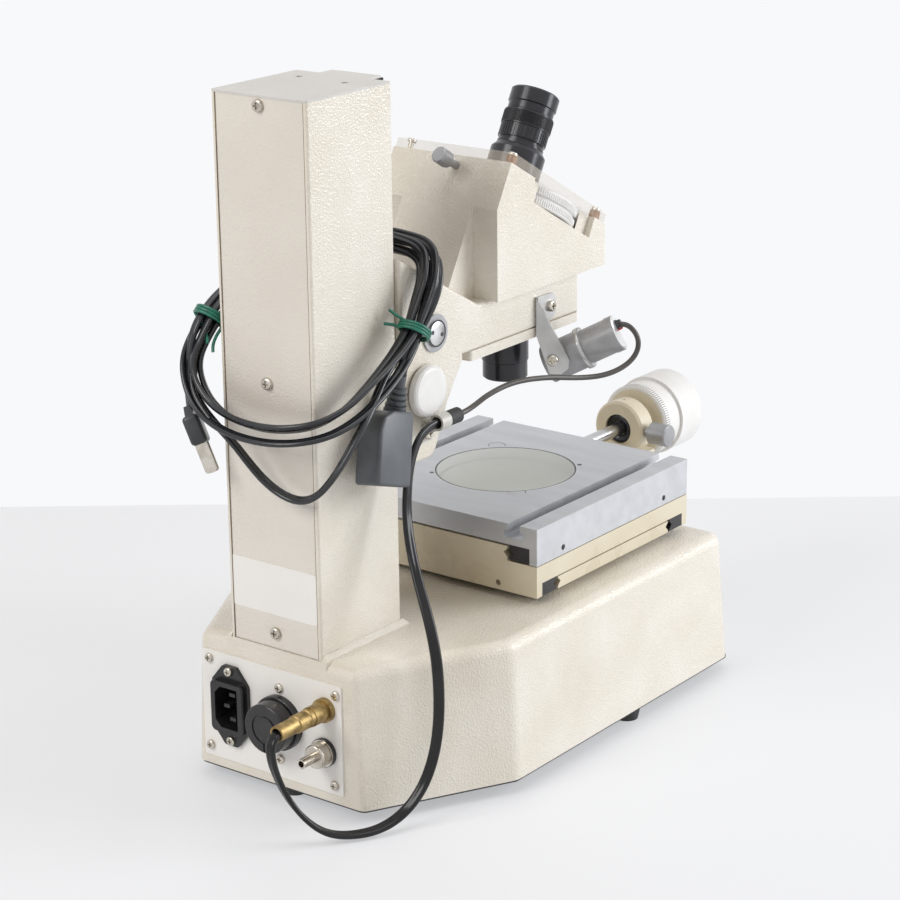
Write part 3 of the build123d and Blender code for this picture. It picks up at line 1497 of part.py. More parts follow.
# Clamp screw that reaches the rim of the dial
rim_reach = math.sqrt(dial_radius**2 - clamp_x**2)
clamp_tip = -(box_slope_length - dial_axis_run - rim_reach) + 0.3
with BuildPart() as dial_clamp_screw:
    add(
        turned(
            clamp_plane,
            [
                (0, clamp_tip),
                (clamp_shank_radius, clamp_tip + 0.6),
                (clamp_shank_radius, clamp_length - clamp_head_length),
                (clamp_head_radius, clamp_length - clamp_head_length),
                (clamp_head_radius, clamp_length - 0.8),
                (clamp_head_radius - 0.8, clamp_length),
                (0, clamp_length),
            ],
        )
    )
dial_clamp_screw.part.label = "dial_clamp_screw"
export_step(dial_clamp_screw.part, "parts/dial_clamp_screw.step")

# Focusing shaft with its pinion. One tooth points at the column at rest.
base_radius = pinion_pitch_radius * math.cos(math.radians(pressure_angle))
pinion_tip_radius = pinion_pitch_radius + 0.88 * gear_module
pinion_root_radius = pinion_pitch_radius - 1.25 * gear_module


def flank_angle(radius):
    """Half the angle of a tooth at a radius, on an involute flank."""
    at_pitch = (gear_pitch / 2 - gear_backlash) / (2 * pinion_pitch_radius)
    pitch_lean = math.tan(math.radians(pressure_angle)) - math.radians(pressure_angle)
    lean = math.acos(min(1.0, base_radius / radius))
    return at_pitch + pitch_lean - (math.tan(lean) - lean)


pinion_outline = []
for tooth in range(pinion_teeth):
    middle = 2 * math.pi * tooth / pinion_teeth
    for radius, side in (
        (pinion_root_radius, -1),
        (base_radius, -1),
        (pinion_pitch_radius, -1),
        (pinion_tip_radius, -1),
        (pinion_tip_radius, 1),
        (pinion_pitch_radius, 1),
        (base_radius, 1),
        (pinion_root_radius, 1),
    ):
        angle = middle + side * flank_angle(max(radius, base_radius))
        pinion_outline.append((radius * math.cos(angle), radius * math.sin(angle)))
knob_inner_x = arm_half_width + focus_knob_gap
shaft_end_x = knob_inner_x + focus_knob_thickness - 1.5
pinion_plane = Plane(origin=(0, pinion_axis_y, pinion_axis_z), x_dir=(0, 1, 0), z_dir=(1, 0, 0))
with BuildPart() as pinion_shaft:
    with BuildSketch(pinion_plane):
        Polygon(*pinion_outline, align=None)
    extrude(amount=rack_half_width - 0.3, both=True)
    with BuildSketch(pinion_plane):
        Circle(focus_shaft_radius)
    extrude(amount=shaft_end_x, both=True)
pinion_shaft.part.label = "pinion_shaft"
export_step(pinion_shaft.part, "parts/pinion_shaft.step")

with BuildPart() as focus_knobs:
    for side in (1, -1):
        knob_plane = facing((side * knob_inner_x, pinion_axis_y, pinion_axis_z), (side, 0, 0))
        add(
            turned(
                knob_plane,
                [
                    (focus_shaft_radius, 0),
                    (focus_knob_radius - 0.5, 0),
                    (focus_knob_radius, 0.5),
                    (focus_knob_radius, focus_knob_thickness - 0.8),
                    (focus_knob_radius - 0.8, focus_knob_thickness),
                    (0, focus_knob_thickness),
                    (0, shaft_end_x - knob_inner_x),
                    (focus_shaft_radius, shaft_end_x - knob_inner_x),
                ],
            )
        )
focus_knobs.part.label = "focus_knobs"
export_step(focus_knobs.part, "parts/focus_knobs.step")

# Caps in both sides of the arm, each with two spanner holes
with BuildPart() as bearing_caps:
    for side in (1, -1):
        cap_plane = facing((side * arm_half_width, *cap_place), (side, 0, 0))
        add(
            turned(
                cap_plane,
                [
                    (0, -cap_seat_depth),
                    (cap_seat_radius, -cap_seat_depth),
                    (cap_seat_radius, 0),
                    (cap_ring_radius, 0),
                    (cap_ring_radius, cap_ring_height),
                    (cap_disc_radius, cap_ring_height),
                    (cap_disc_radius, cap_height),
                    (0, cap_height),
                ],
            )
        )
        with Locations(cap_plane.offset(cap_height)):
            with Locations((0, spanner_hole_offset), (0, -spanner_hole_offset)):
                Cylinder(1.1, 3, mode=Mode.SUBTRACT)
bearing_caps.part.label = "bearing_caps"
export_step(bearing_caps.part, "parts/bearing_caps.step")

# Lamp bracket: a tab on the arm's side and a strip folded away from it
fold = math.radians(bracket_fold_angle)
strip_out = Vector(-math.sin(fold), -math.cos(fold), 0)
strip_face = Vector(-math.cos(fold), math.sin(fold), 0)
fold_x = -arm_half_width - bracket_sheet / 2
strip_plane = Plane(origin=(fold_x, bracket_bend_y, 0), x_dir=strip_out, z_dir=strip_face)
strip_y = strip_plane.y_dir.Z
with BuildPart() as lamp_bracket:
    with BuildSketch(Plane(origin=(fold_x, 0, 0), x_dir=(0, 1, 0), z_dir=(1, 0, 0))):
        Polygon(
            (bracket_bend_y, 219.5),
            (bracket_bend_y, bracket_top_z),
            (4.0, bracket_top_z),
            (1.0, 238.0),
            (1.0, 230.0),
            (4.0, 227.0),
            (10.0, 226.0),
            align=None,
        )
        with Locations(tab_screw):
            Circle(screw_shank_radius + seat_fit, mode=Mode.SUBTRACT)
    extrude(amount=bracket_sheet / 2, both=True)
    with BuildSketch(strip_plane):
        Polygon(
            (0, strip_y * 219.5),
            (0, strip_y * bracket_top_z),
            (1.5, strip_y * 238.0),
            (18.5, strip_y * 206.5),
            (18.0, strip_y * 201.5),
            (14.0, strip_y * 198.0),
            (7.5, strip_y * 198.0),
            align=None,
        )
        with Locations((lamp_pivot_run, strip_y * lamp_pivot_z)):
            Circle(screw_shank_radius + seat_fit, mode=Mode.SUBTRACT)
    extrude(amount=bracket_sheet / 2, both=True)
lamp_bracket.part.label = "lamp_bracket"
export_step(lamp_bracket.part, "parts/lamp_bracket.step")

# Lamp: nose, ring, body and end cap on one axis, with a boss on the bracket
lamp_lean = math.radians(lamp_angle)
lamp_pivot = Vector(fold_x, bracket_bend_y, lamp_pivot_z) + strip_out * lamp_pivot_run
lamp_axis = strip_out * math.cos(lamp_lean) + Vector(0, 0, math.sin(lamp_lean))
lamp_up = strip_out * -math.sin(lamp_lean) + Vector(0, 0, math.cos(lamp_lean))
lamp_setback = bracket_sheet / 2 + 0.3 + lamp_nose_radius
lamp_middle = lamp_pivot - strip_face * lamp_setback - lamp_up * lamp_drop
lamp_plane = Plane(origin=lamp_middle, x_dir=lamp_up, z_dir=lamp_axis)
pivot_screw_length = 6.0
with BuildPart() as lamp_housing:
    add(
        turned(
            lamp_plane,
            [
                (lamp_bore_radius, lamp_nose_start),
                (lamp_nose_radius - 0.4, lamp_nose_start),
                (lamp_nose_radius, lamp_nose_start + 0.4),
                (lamp_nose_radius, lamp_nose_end),
                (lamp_ring_radius, lamp_nose_end),
                (lamp_ring_radius, lamp_ring_end),
                (lamp_body_radius, lamp_ring_end),
                (lamp_body_radius, lamp_cap_start),
                (lamp_body_radius + 0.4, lamp_cap_start),
                (lamp_body_radius + 0.4, lamp_end - 1),
                (lamp_body_radius - 0.6, lamp_end),
                (0, lamp_end),
                (0, lamp_nose_start + lamp_bore_depth),
                (lamp_bore_radius, lamp_nose_start + lamp_bore_depth),
            ],
        )
    )
    with BuildSketch(Plane(origin=lamp_pivot - strip_face * (bracket_sheet / 2 + 0.3), z_dir=-strip_face)):
        Circle(5.0)
    extrude(amount=lamp_nose_radius * 0.6)
    with BuildSketch(Plane(origin=lamp_pivot, z_dir=-strip_face)):
        Circle(screw_shank_radius + seat_fit)
    extrude(amount=pivot_screw_length + bracket_sheet, mode=Mode.SUBTRACT)
    with BuildSketch(lamp_plane.offset(lamp_end)):
        with Locations((lamp_cord_offset, 0)):
            Circle(lamp_lead_diameter / 2 + seat_fit)
    extrude(amount=-lamp_lead_hole_depth, mode=Mode.SUBTRACT)
lamp_housing.part.label = "lamp_housing"
export_step(lamp_housing.part, "parts/lamp_housing.step")

# Screws of the dial cover, the lamp bracket, the lamp and the cord clip
acrylic_screw = pan_screw(acrylic_screw_radius, screw_head_height, screw_shank_radius, acrylic_thickness + 4)
bracket_screw = pan_screw(
    cover_screw_head_radius, cover_screw_head_height, screw_shank_radius, pivot_screw_length
)
with BuildPart() as head_screws:
    with Locations(*[cover_top * Location((x, y, 0)) for x, y in acrylic_screws]):
        add(acrylic_screw)
    with Locations(facing((fold_x - bracket_sheet / 2, *tab_screw), (-1, 0, 0))):
        add(bracket_screw)
    with Locations(Plane(origin=lamp_pivot + strip_face * (bracket_sheet / 2), z_dir=strip_face)):
        add(bracket_screw)
    with Locations(facing((-arm_half_width - clip_thickness, *clip_screw), (-1, 0, 0))):
        add(bracket_screw)
head_screws.part.label = "head_screws"
export_step(head_screws.part, "parts/head_screws.step")


def cord(points, diameter):
    """A round cord along straight runs joined by arcs, each as large as its two runs allow."""
    radii = []
    for index in range(1, len(points) - 1):
        before = Vector(*points[index - 1])
        corner = Vector(*points[index])
        after = Vector(*points[index + 1])
        turn = (corner - before).get_angle(after - corner)
        shorter = min((corner - before).length, (after - corner).length)
        radii.append(0.45 * shorter / math.tan(math.radians(turn / 2)))
    with BuildPart() as tube:
        with BuildLine() as route:
            FilletPolyline(*points, radius=radii)
        with BuildSketch(Plane(origin=route.line @ 0, z_dir=route.line % 0)):
            Circle(diameter / 2)
        sweep()
    length = sum(edge.length for edge in route.edges())
    expected = math.pi * diameter**2 / 4 * length
    print(
        f"cord {diameter} mm: length {length:.0f}, radii "
        f"{min(radii):.1f} to {max(radii):.1f}, volume ratio {tube.part.volume / expected:.4f}"
    )
    return tube.part


def sleeve_line(y):
    """The point at a given y on the straight line that the sleeve and the clip lie on."""
    return (sleeve_x, y, sleeve_z)


# Lead of the lamp, from its cap down and back to the sleeve before the clip
lead_line = lamp_middle + lamp_up * lamp_cord_offset
lead_start = lead_line + lamp_axis * (lamp_end - lamp_lead_hole_depth + 0.1)
lead_turn = lead_line + lamp_axis * (lamp_end + 4.5)
lamp_lead_route = [
    tuple(lead_start),
    tuple(lead_turn),
    (-79.0, -16.6, 219.8),
    (-80.2, -16.6, 211.0),
    (-77.0, -11.5, 203.2),
    (-71.5, 1.0, 198.9),
    (-64.5, 17.0, 199.6),
    (-57.5, 41.0, 204.9),
    (-51.5, 63.5, 206.6),
    (-48.0, 81.0, 203.4),
    (-45.2, 90.0, 198.8),
    sleeve_line(96.5),
    sleeve_line(sleeve_middle_y - sleeve_half_length - lead_end_gap),
]
with BuildPart() as lamp_lead:
    add(cord(lamp_lead_route, lamp_lead_diameter))
lamp_lead.part.label = "lamp_lead"
export_step(lamp_lead.part, "parts/lamp_lead.step")

# Cable from the sleeve in the clip, down past the base and over the table to the plug
lamp_cable_route = [
    sleeve_line(sleeve_middle_y + 0.4),
    sleeve_line(123.0),
    (-44.4, 132.0, 195.6),
    (-45.0, 140.0, 191.5),
    (-45.6, 147.3, 181.0),
    (-47.5, 152.8, 167.5),
    (-50.5, 156.8, 153.0),
    (-56.0, 160.5, 138.0),
    (-65.0, 166.0, 123.5),
    (-75.5, 171.5, 108.0),
    (-82.5, 174.8, 91.0),
    (-85.0, 176.0, 71.0),
    (-85.2, 177.5, 52.0),
    (-84.0, 181.0, 35.0),
    (-81.5, 188.0, 20.0),
    (-77.0, 198.5, 9.0),
    (-71.0, 211.0, 3.6),
    (-62.5, 224.0, 3.1),
    (-54.0, 234.0, 6.0),
    (-46.0, 241.5, 15.5),
    (-40.0, 247.0, 28.0),
    (-36.6, 250.3, 40.0),
    (-34.9, 252.0, 49.5),
    (-34.3, 251.2, 57.0),
    (-34.3, 246.5, 61.0),
    (-34.3, 241.5, 61.0),
]
with BuildPart() as lamp_cable:
    add(cord(lamp_cable_route, lamp_cable_diameter))
lamp_cable.part.label = "lamp_cable"
export_step(lamp_cable.part, "parts/lamp_cable.step")

# Brass plug in the socket: stepped sleeves, a pin and a bore for the cable
socket_end = socket_length
plug_axis = on_panel(socket_place)
with BuildPart() as lamp_plug:
    add(
        turned(
            plug_axis,
            [
                (0, socket_end - 9),
                (socket_bore_radius - sliding_fit, socket_end - 9),
                (socket_bore_radius - sliding_fit, socket_end),
                (5.0, socket_end),
                (5.0, socket_end + 2.6),
                (4.4, socket_end + 3.2),
                (4.4, socket_end + 4.4),
                (4.9, socket_end + 5.0),
                (4.9, socket_end + 11.5),
                (4.3, socket_end + 12.3),
                (4.3, plug_end),
                (lamp_cable_diameter / 2 + seat_fit, plug_end),
                (lamp_cable_diameter / 2 + seat_fit, plug_end - 5.6),
                (0, plug_end - 5.6),
            ],
        )
    )
lamp_plug.part.label = "lamp_plug"
export_step(lamp_plug.part, "parts/lamp_plug.step")

# Sleeve that joins the thin lead to the thick cable
with BuildPart() as cable_sleeve:
    add(
        turned(
            facing(sleeve_line(sleeve_middle_y), (0, 1, 0)),
            [
                (0, -sleeve_half_length),
                (sleeve_outer_radius - 1, -sleeve_half_length),
                (sleeve_outer_radius, 1 - sleeve_half_length),
                (sleeve_outer_radius, sleeve_half_length),
                (lamp_cable_diameter / 2 + seat_fit, sleeve_half_length),
                (lamp_cable_diameter / 2 + seat_fit, 0),
                (0, 0),
            ],
        )
    )
cable_sleeve.part.label = "cable_sleeve"
export_step(cable_sleeve.part, "parts/cable_sleeve.step")

# Clip that holds the cable on the side of the arm
with BuildPart() as cord_clip:
    clip_way = Plane(origin=sleeve_line(118.0), x_dir=(0, 0, 1), z_dir=(0, 1, 0))
    tab_side = -arm_half_width - sleeve_x
    tab_reach = clip_screw[1] - sleeve_z
    with BuildSketch(clip_way):
        Circle(clip_outer_radius)
        Polygon(
            (-clip_outer_radius, 0),
            (-1.0, clip_outer_radius - 0.2),
            (tab_reach + 4.5, tab_side),
            (tab_reach, tab_side),
            (tab_reach, tab_side - clip_thickness),
            align=None,
        )
        Circle(lamp_cable_diameter / 2 + 0.3, mode=Mode.SUBTRACT)
    extrude(amount=clip_half_width, both=True)
    clip_seat = facing((-arm_half_width, *clip_screw), (-1, 0, 0))
    with BuildSketch(Plane(origin=clip_seat.origin, x_dir=(0, 1, 0), z_dir=(-1, 0, 0))):
        Rectangle(2 * clip_half_width, 9)
    extrude(amount=clip_thickness)
    with BuildSketch(clip_seat):
        Circle(screw_shank_radius + seat_fit)
    extrude(amount=clip_thickness, mode=Mode.SUBTRACT)
    with BuildSketch(clip_seat.offset(clip_thickness)):
        Circle(cover_screw_head_radius + 0.3)
    extrude(amount=cover_screw_head_height + 1, mode=Mode.SUBTRACT)
cord_clip.part.label = "cord_clip"
export_step(cord_clip.part, "parts/cord_clip.step")

# Mains cord wound round the column in five turns and tied, as one closed ring
hank_upper_route = [
    (1.5, 221.25, 210.0),
    (-9.0, 221.5, 209.5),
    (-28.0, 218.5, 211.5),
    (-41.0, 209.0, 215.0),
    (-45.5, 193.0, 220.5),
    (-47.0, 180.0, 227.0),
    (-47.0, 166.0, 234.0),
    (-46.5, 153.0, 241.5),
    (-46.0, 142.0, 251.5),
    (-45.0, 133.5, 264.0),
    (-44.8, 126.2, 276.8),
    (-36.0, 116.8, 287.4),
    (-12.0, 112.5, 288.6),
    (0.0, 112.5, 288.6),
]
hank_lower_route = [
    (0.0, 112.5, 288.6),
    (12.0, 112.5, 288.6),
    (36.0, 117.5, 286.6),
    (45.6, 134.5, 279.4),
    (48.0, 156.0, 274.0),
    (47.5, 178.0, 269.5),
    (46.5, 197.0, 262.0),
    (47.5, 207.5, 250.0),
    (47.5, 211.5, 237.0),
    (42.0, 215.0, 225.0),
    (30.0, 218.5, 215.5),
    (12.0, 221.0, 210.5),
    (1.5, 221.25, 210.0),
]
with BuildPart() as power_hank:
    add(cord(hank_upper_route, 2 * hank_radius))
    add(cord(hank_lower_route, 2 * hank_radius))
power_hank.part.label = "power_hank"
export_step(power_hank.part, "parts/power_hank.step")

# Slack turn that hangs below the hank at the back
power_tail_route = [
    (12.5, 218.5, 200.6),
    (4.0, 216.5, 190.5),
    (-5.0, 214.5, 181.5),
    (-16.0, 213.0, 175.8),
    (-27.0, 212.5, 175.0),
    (-36.5, 211.5, 179.5),
    (-43.0, 208.5, 188.0),
    (-47.5, 204.5, 197.0),
    (-50.0, 199.5, 206.0),
]
with BuildPart() as power_tail:
    add(cord(power_tail_route, power_cord_diameter))
power_tail.part.label = "power_tail"
export_step(power_tail.part, "parts/power_tail.step")

# Appliance connector and mains plug at the ends of the cord, each with its strain relief
connector_up = Vector(0.15, -0.30, 0.942).normalized()
connector_middle = Plane(origin=(-44.27, 166.55, 194.57), x_dir=(0, 1, 0.318), z_dir=connector_up)
connector_side = Plane(
    origin=connector_middle.origin, x_dir=connector_middle.x_dir, z_dir=-connector_middle.y_dir
)
neck_offset = -7.0
neck_end_place = Vector(-45.16, 152.62, 230.78)
with BuildPart() as power_connector:
    with BuildSketch(connector_side):
        Polygon(
            (-connector_depth / 2, -connector_length / 2),
            (connector_depth / 2, -connector_length / 2),
            (connector_depth / 2, connector_length / 2 - connector_shoulder_drop),
            (connector_depth / 2 - connector_shoulder / 2, connector_length / 2 - connector_shoulder / 2),
            (connector_depth / 2 - connector_shoulder, connector_length / 2),
            (-connector_depth / 2, connector_length / 2),
            align=None,
        )
    extrude(amount=connector_width / 2, both=True)
    rim_axis = Axis(connector_side.origin, connector_side.z_dir)
    chamfer(power_connector.edges().filter_by(rim_axis, reverse=True), connector_edge)
    neck_foot = connector_middle.from_local_coords(Vector(neck_offset, 0, connector_length / 2))
    neck_run = neck_end_place - neck_foot
    add(
        turned(
            Plane(origin=neck_foot, z_dir=neck_run),
            [
                (0, -4),
                (connector_neck_radius, -4),
                (connector_neck_radius, 1),
                (power_cord_diameter / 2 + 0.8, connector_neck_length),
                (power_cord_diameter / 2, connector_neck_length),
                (power_cord_diameter / 2, neck_run.length),
                (0, neck_run.length),
            ],
        )
    )
power_connector.part.label = "power_connector"
export_step(power_connector.part, "parts/power_connector.step")

plug_down = Vector(-0.45, 0, -0.89).normalized()
plug_plane = Plane(origin=(42.6, 214.0, 201.3), x_dir=(0, 1, 0), z_dir=plug_down)
with BuildPart() as power_plug:
    with BuildSketch(plug_plane):
        RectangleRounded(plug_width, plug_thickness, 3)
    extrude(amount=plug_length / 2, both=True)
    with BuildSketch(plug_plane.offset(plug_length / 2)):
        with Locations((plug_blade_spacing / 2, 0), (-plug_blade_spacing / 2, 0)):
            Rectangle(plug_blade_width, plug_blade_thickness)
    extrude(amount=plug_blade_length)
power_plug.part.label = "power_plug"
export_step(power_plug.part, "parts/power_plug.step")
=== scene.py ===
# %% [markdown]
# # Measuring microscope with a crossed-roller stage
# The CAD model gives every solid in its place. This lesson dresses it: the camera and the light
# first, then the cords, then one finish after another, and last the small pieces that a solid
# model leaves out, such as knurling, graduations and ties.

import math

import bmesh
import bpy
from mathutils import Matrix, Vector


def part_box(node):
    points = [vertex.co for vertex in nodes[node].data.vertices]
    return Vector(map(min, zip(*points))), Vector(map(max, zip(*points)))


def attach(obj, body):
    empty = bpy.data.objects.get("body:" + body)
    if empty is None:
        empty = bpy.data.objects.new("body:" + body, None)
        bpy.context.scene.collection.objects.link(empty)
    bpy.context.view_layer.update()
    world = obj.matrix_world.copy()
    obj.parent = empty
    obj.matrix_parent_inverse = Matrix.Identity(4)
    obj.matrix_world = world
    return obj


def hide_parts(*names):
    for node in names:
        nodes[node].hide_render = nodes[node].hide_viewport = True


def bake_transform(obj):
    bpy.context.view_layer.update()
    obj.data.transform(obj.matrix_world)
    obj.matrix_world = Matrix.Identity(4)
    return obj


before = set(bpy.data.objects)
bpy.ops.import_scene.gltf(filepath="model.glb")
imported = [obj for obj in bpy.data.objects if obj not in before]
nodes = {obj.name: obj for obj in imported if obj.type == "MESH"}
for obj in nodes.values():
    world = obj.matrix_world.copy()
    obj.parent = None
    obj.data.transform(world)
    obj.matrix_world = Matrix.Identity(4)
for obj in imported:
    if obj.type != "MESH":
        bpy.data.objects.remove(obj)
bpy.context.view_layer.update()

# %% [markdown]
# ## Camera
# The photograph was taken from behind the instrument and to its left, slightly from above, with a
# long lens. The camera's three axes are worked out from those angles, so that nothing has to be
# turned by eye.

# %% Place the camera
mm = 0.001
azimuth, elevation, roll = (math.radians(v) for v in (217.3, 17.89, -0.68))
camera_place = (-0.84998, 1.16867, 0.60823)
focal_length = 105.1
right = Vector((math.cos(azimuth), math.sin(azimuth), 0))
back = Vector(
    (
        math.sin(azimuth) * math.cos(elevation),
        -math.cos(azimuth) * math.cos(elevation),
        math.sin(elevation),
    )
)
up = back.cross(right)
turned_right = right * math.cos(roll) + up * math.sin(roll)
turned_up = up * math.cos(roll) - right * math.sin(roll)
lens = bpy.data.cameras.new("camera")
lens.lens = focal_length
lens.sensor_width = 36
lens.clip_start = 0.05
camera = bpy.data.objects.new("camera", lens)
turn = Matrix((turned_right, turned_up, back)).transposed().to_4x4()
camera.matrix_world = Matrix.Translation(camera_place) @ turn
bpy.context.scene.collection.objects.link(camera)
bpy.context.scene.camera = camera
bpy.context.scene.view_settings.view_transform = "Standard"
print("camera at", [round(v, 3) for v in camera.location])

# %% [markdown]
# ## Studio
# A white table top and a white room make the picture bright without strong lamps. The backdrop's
# brightness is given to camera, glossy and transmission rays only, so the metal and the glass show
# it, and the instrument itself is lit at a plain level.


# %% Floor, room and lamps
def link_nodes(tree, *pairs):
    """Joins sockets, given as (output, input) pairs."""
    for source, target in pairs:
        tree.links.new(source, target)


bpy.ops.object.select_all(action="DESELECT")
floor_size = 6.0
floor_far_edge = 0.32
ahead = Vector((-math.sin(azimuth), math.cos(azimuth), 0))
bpy.ops.mesh.primitive_plane_add(
    size=floor_size, location=ahead * (floor_far_edge - floor_size / 2), rotation=(0, 0, azimuth)
)
floor = bpy.context.object
floor.name = "floor"
white_floor = bpy.data.materials.new("white_floor")
white_floor.use_nodes = True
floor_shader = white_floor.node_tree.nodes["Principled BSDF"]
floor_shader.inputs["Base Color"].default_value = (0.41, 0.42, 0.44, 1)
floor_shader.inputs["Roughness"].default_value = 0.5
floor_shader.inputs["Emission Color"].default_value = (0.97, 0.98, 1.0, 1)
floor_shader.inputs["Emission Strength"].default_value = 0.44
floor.data.materials.append(white_floor)

room = bpy.data.worlds.new("white_room")
room.use_nodes = True
bpy.context.scene.world = room
tree = room.node_tree
tree.nodes.clear()
path = tree.nodes.new("ShaderNodeLightPath")
seen_or_glossy = tree.nodes.new("ShaderNodeMath")
seen_or_glossy.operation = "MAXIMUM"
seen = tree.nodes.new("ShaderNodeMath")
seen.operation = "MAXIMUM"
lit = tree.nodes.new("ShaderNodeBackground")
lit.inputs["Color"].default_value = (1, 0.86, 0.71, 1)
lit.inputs["Strength"].default_value = 0.28
glow = tree.nodes.new("ShaderNodeBackground")
glow.inputs["Color"].default_value = (0.94, 0.945, 0.96, 1)
choice = tree.nodes.new("ShaderNodeMixShader")
world_out = tree.nodes.new("ShaderNodeOutputWorld")
link_nodes(
    tree,
    (path.outputs["Is Camera Ray"], seen_or_glossy.inputs[0]),
    (path.outputs["Is Glossy Ray"], seen_or_glossy.inputs[1]),
    (seen_or_glossy.outputs[0], seen.inputs[0]),
    (path.outputs["Is Transmission Ray"], seen.inputs[1]),
    (seen.outputs[0], choice.inputs["Fac"]),
    (lit.outputs[0], choice.inputs[1]),
    (glow.outputs[0], choice.inputs[2]),
    (choice.outputs[0], world_out.inputs["Surface"]),
)


def soft_box(name, place, target, size, watts, colour):
    """A large square lamp that faces a point."""
    light = bpy.data.lights.new(name, "AREA")
    light.size = size
    light.energy = watts
    light.color = colour
    lamp = bpy.data.objects.new(name, light)
    away = (Vector(place) - Vector(target)).normalized()
    facing = away.to_track_quat("Z", "Y").to_matrix().to_4x4()
    lamp.matrix_world = Matrix.Translation(place) @ facing
    bpy.context.scene.collection.objects.link(lamp)


middle = (0, 0.05, 0.2)
lamp_height = Vector((0, 0, 0.75))
soft_box("right_box", right * 1.7 + lamp_height, middle, 1.1, 25, (0.95, 0.975, 1))
soft_box("rear_box", (0.42, 1.55, 1.25), middle, 0.9, 15.5, (1, 0.985, 0.96))
soft_box("top_box", (-0.2, 0.1, 2.2), middle, 1.4, 11, (0.97, 0.985, 1))
print("studio ready")

# %% [markdown]
# ## Finishes
# One recipe serves most of the materials: a colour that wanders a little between two tones, a
# roughness that wanders with it, and a bump. Each finish sets its own scale and strength. Patterns
# read Object coordinates, which are the row's own metres here, so they have a real size.


# %% Recipe for a finish
def blank(name):
    """A new material with its tree and its shader."""
    material = bpy.data.materials.new(name)
    material.use_nodes = True
    return material, material.node_tree, material.node_tree.nodes["Principled BSDF"]


def set_sockets(shader, sockets):
    """Sets sockets of the shader by name, with _ for each space."""
    for socket, value in sockets.items():
        shader.inputs[socket.replace("_", " ")].default_value = value


def pattern(tree, kind, size, stretch=(1, 1, 1), detail=2.0):
    """The output of a noise or of cells, with features of this size in metres."""
    place = tree.nodes.new("ShaderNodeTexCoord")
    mapping = tree.nodes.new("ShaderNodeMapping")
    mapping.inputs["Scale"].default_value = stretch
    if kind == "cells":
        texture = tree.nodes.new("ShaderNodeTexVoronoi")
        texture.feature = "SMOOTH_F1"
        texture.inputs["Smoothness"].default_value = 0.6
        result = texture.outputs["Distance"]
    else:
        texture = tree.nodes.new("ShaderNodeTexNoise")
        texture.inputs["Detail"].default_value = detail
        result = texture.outputs["Fac"]
    texture.inputs["Scale"].default_value = 1 / size
    link_nodes(
        tree,
        (place.outputs["Object"], mapping.inputs["Vector"]),
        (mapping.outputs[0], texture.inputs["Vector"]),
    )
    return result


def finish(
    name, dark, light, rough, metal=0.0, tone_size=0.03, stretch=(1, 1, 1), grain=None, **sockets
):
    """A finish whose colour and roughness wander. grain is (kind, size, depth in metres)."""
    material, tree, shader = blank(name)
    tone = pattern(tree, "noise", tone_size, stretch, 4.0)
    ramp = tree.nodes.new("ShaderNodeValToRGB")
    ramp.color_ramp.elements[0].position = 0.3
    ramp.color_ramp.elements[0].color = (*dark, 1)
    ramp.color_ramp.elements[1].position = 0.7
    ramp.color_ramp.elements[1].color = (*light, 1)
    spread = tree.nodes.new("ShaderNodeMapRange")
    spread.inputs["To Min"].default_value = rough[0]
    spread.inputs["To Max"].default_value = rough[1]
    link_nodes(
        tree,
        (tone, ramp.inputs["Fac"]),
        (ramp.outputs["Color"], shader.inputs["Base Color"]),
        (tone, spread.inputs["Value"]),
        (spread.outputs["Result"], shader.inputs["Roughness"]),
    )
    if grain:
        kind, size, depth = grain
        bump = tree.nodes.new("ShaderNodeBump")
        bump.inputs["Distance"].default_value = depth
        link_nodes(
            tree,
            (pattern(tree, kind, size, stretch), bump.inputs["Height"]),
            (bump.outputs["Normal"], shader.inputs["Normal"]),
        )
    shader.inputs["Metallic"].default_value = metal
    set_sockets(shader, sockets)
    return material


def clear_finish(name, colour, index, rough, **sockets):
    """Glass or acrylic with a faint tint: Transmission bends the light, Alpha only thins it."""
    material, _, shader = blank(name)
    shader.inputs["Base Color"].default_value = (*colour, 1)
    shader.inputs["Roughness"].default_value = rough
    shader.inputs["IOR"].default_value = index
    set_sockets(shader, sockets)
    return material


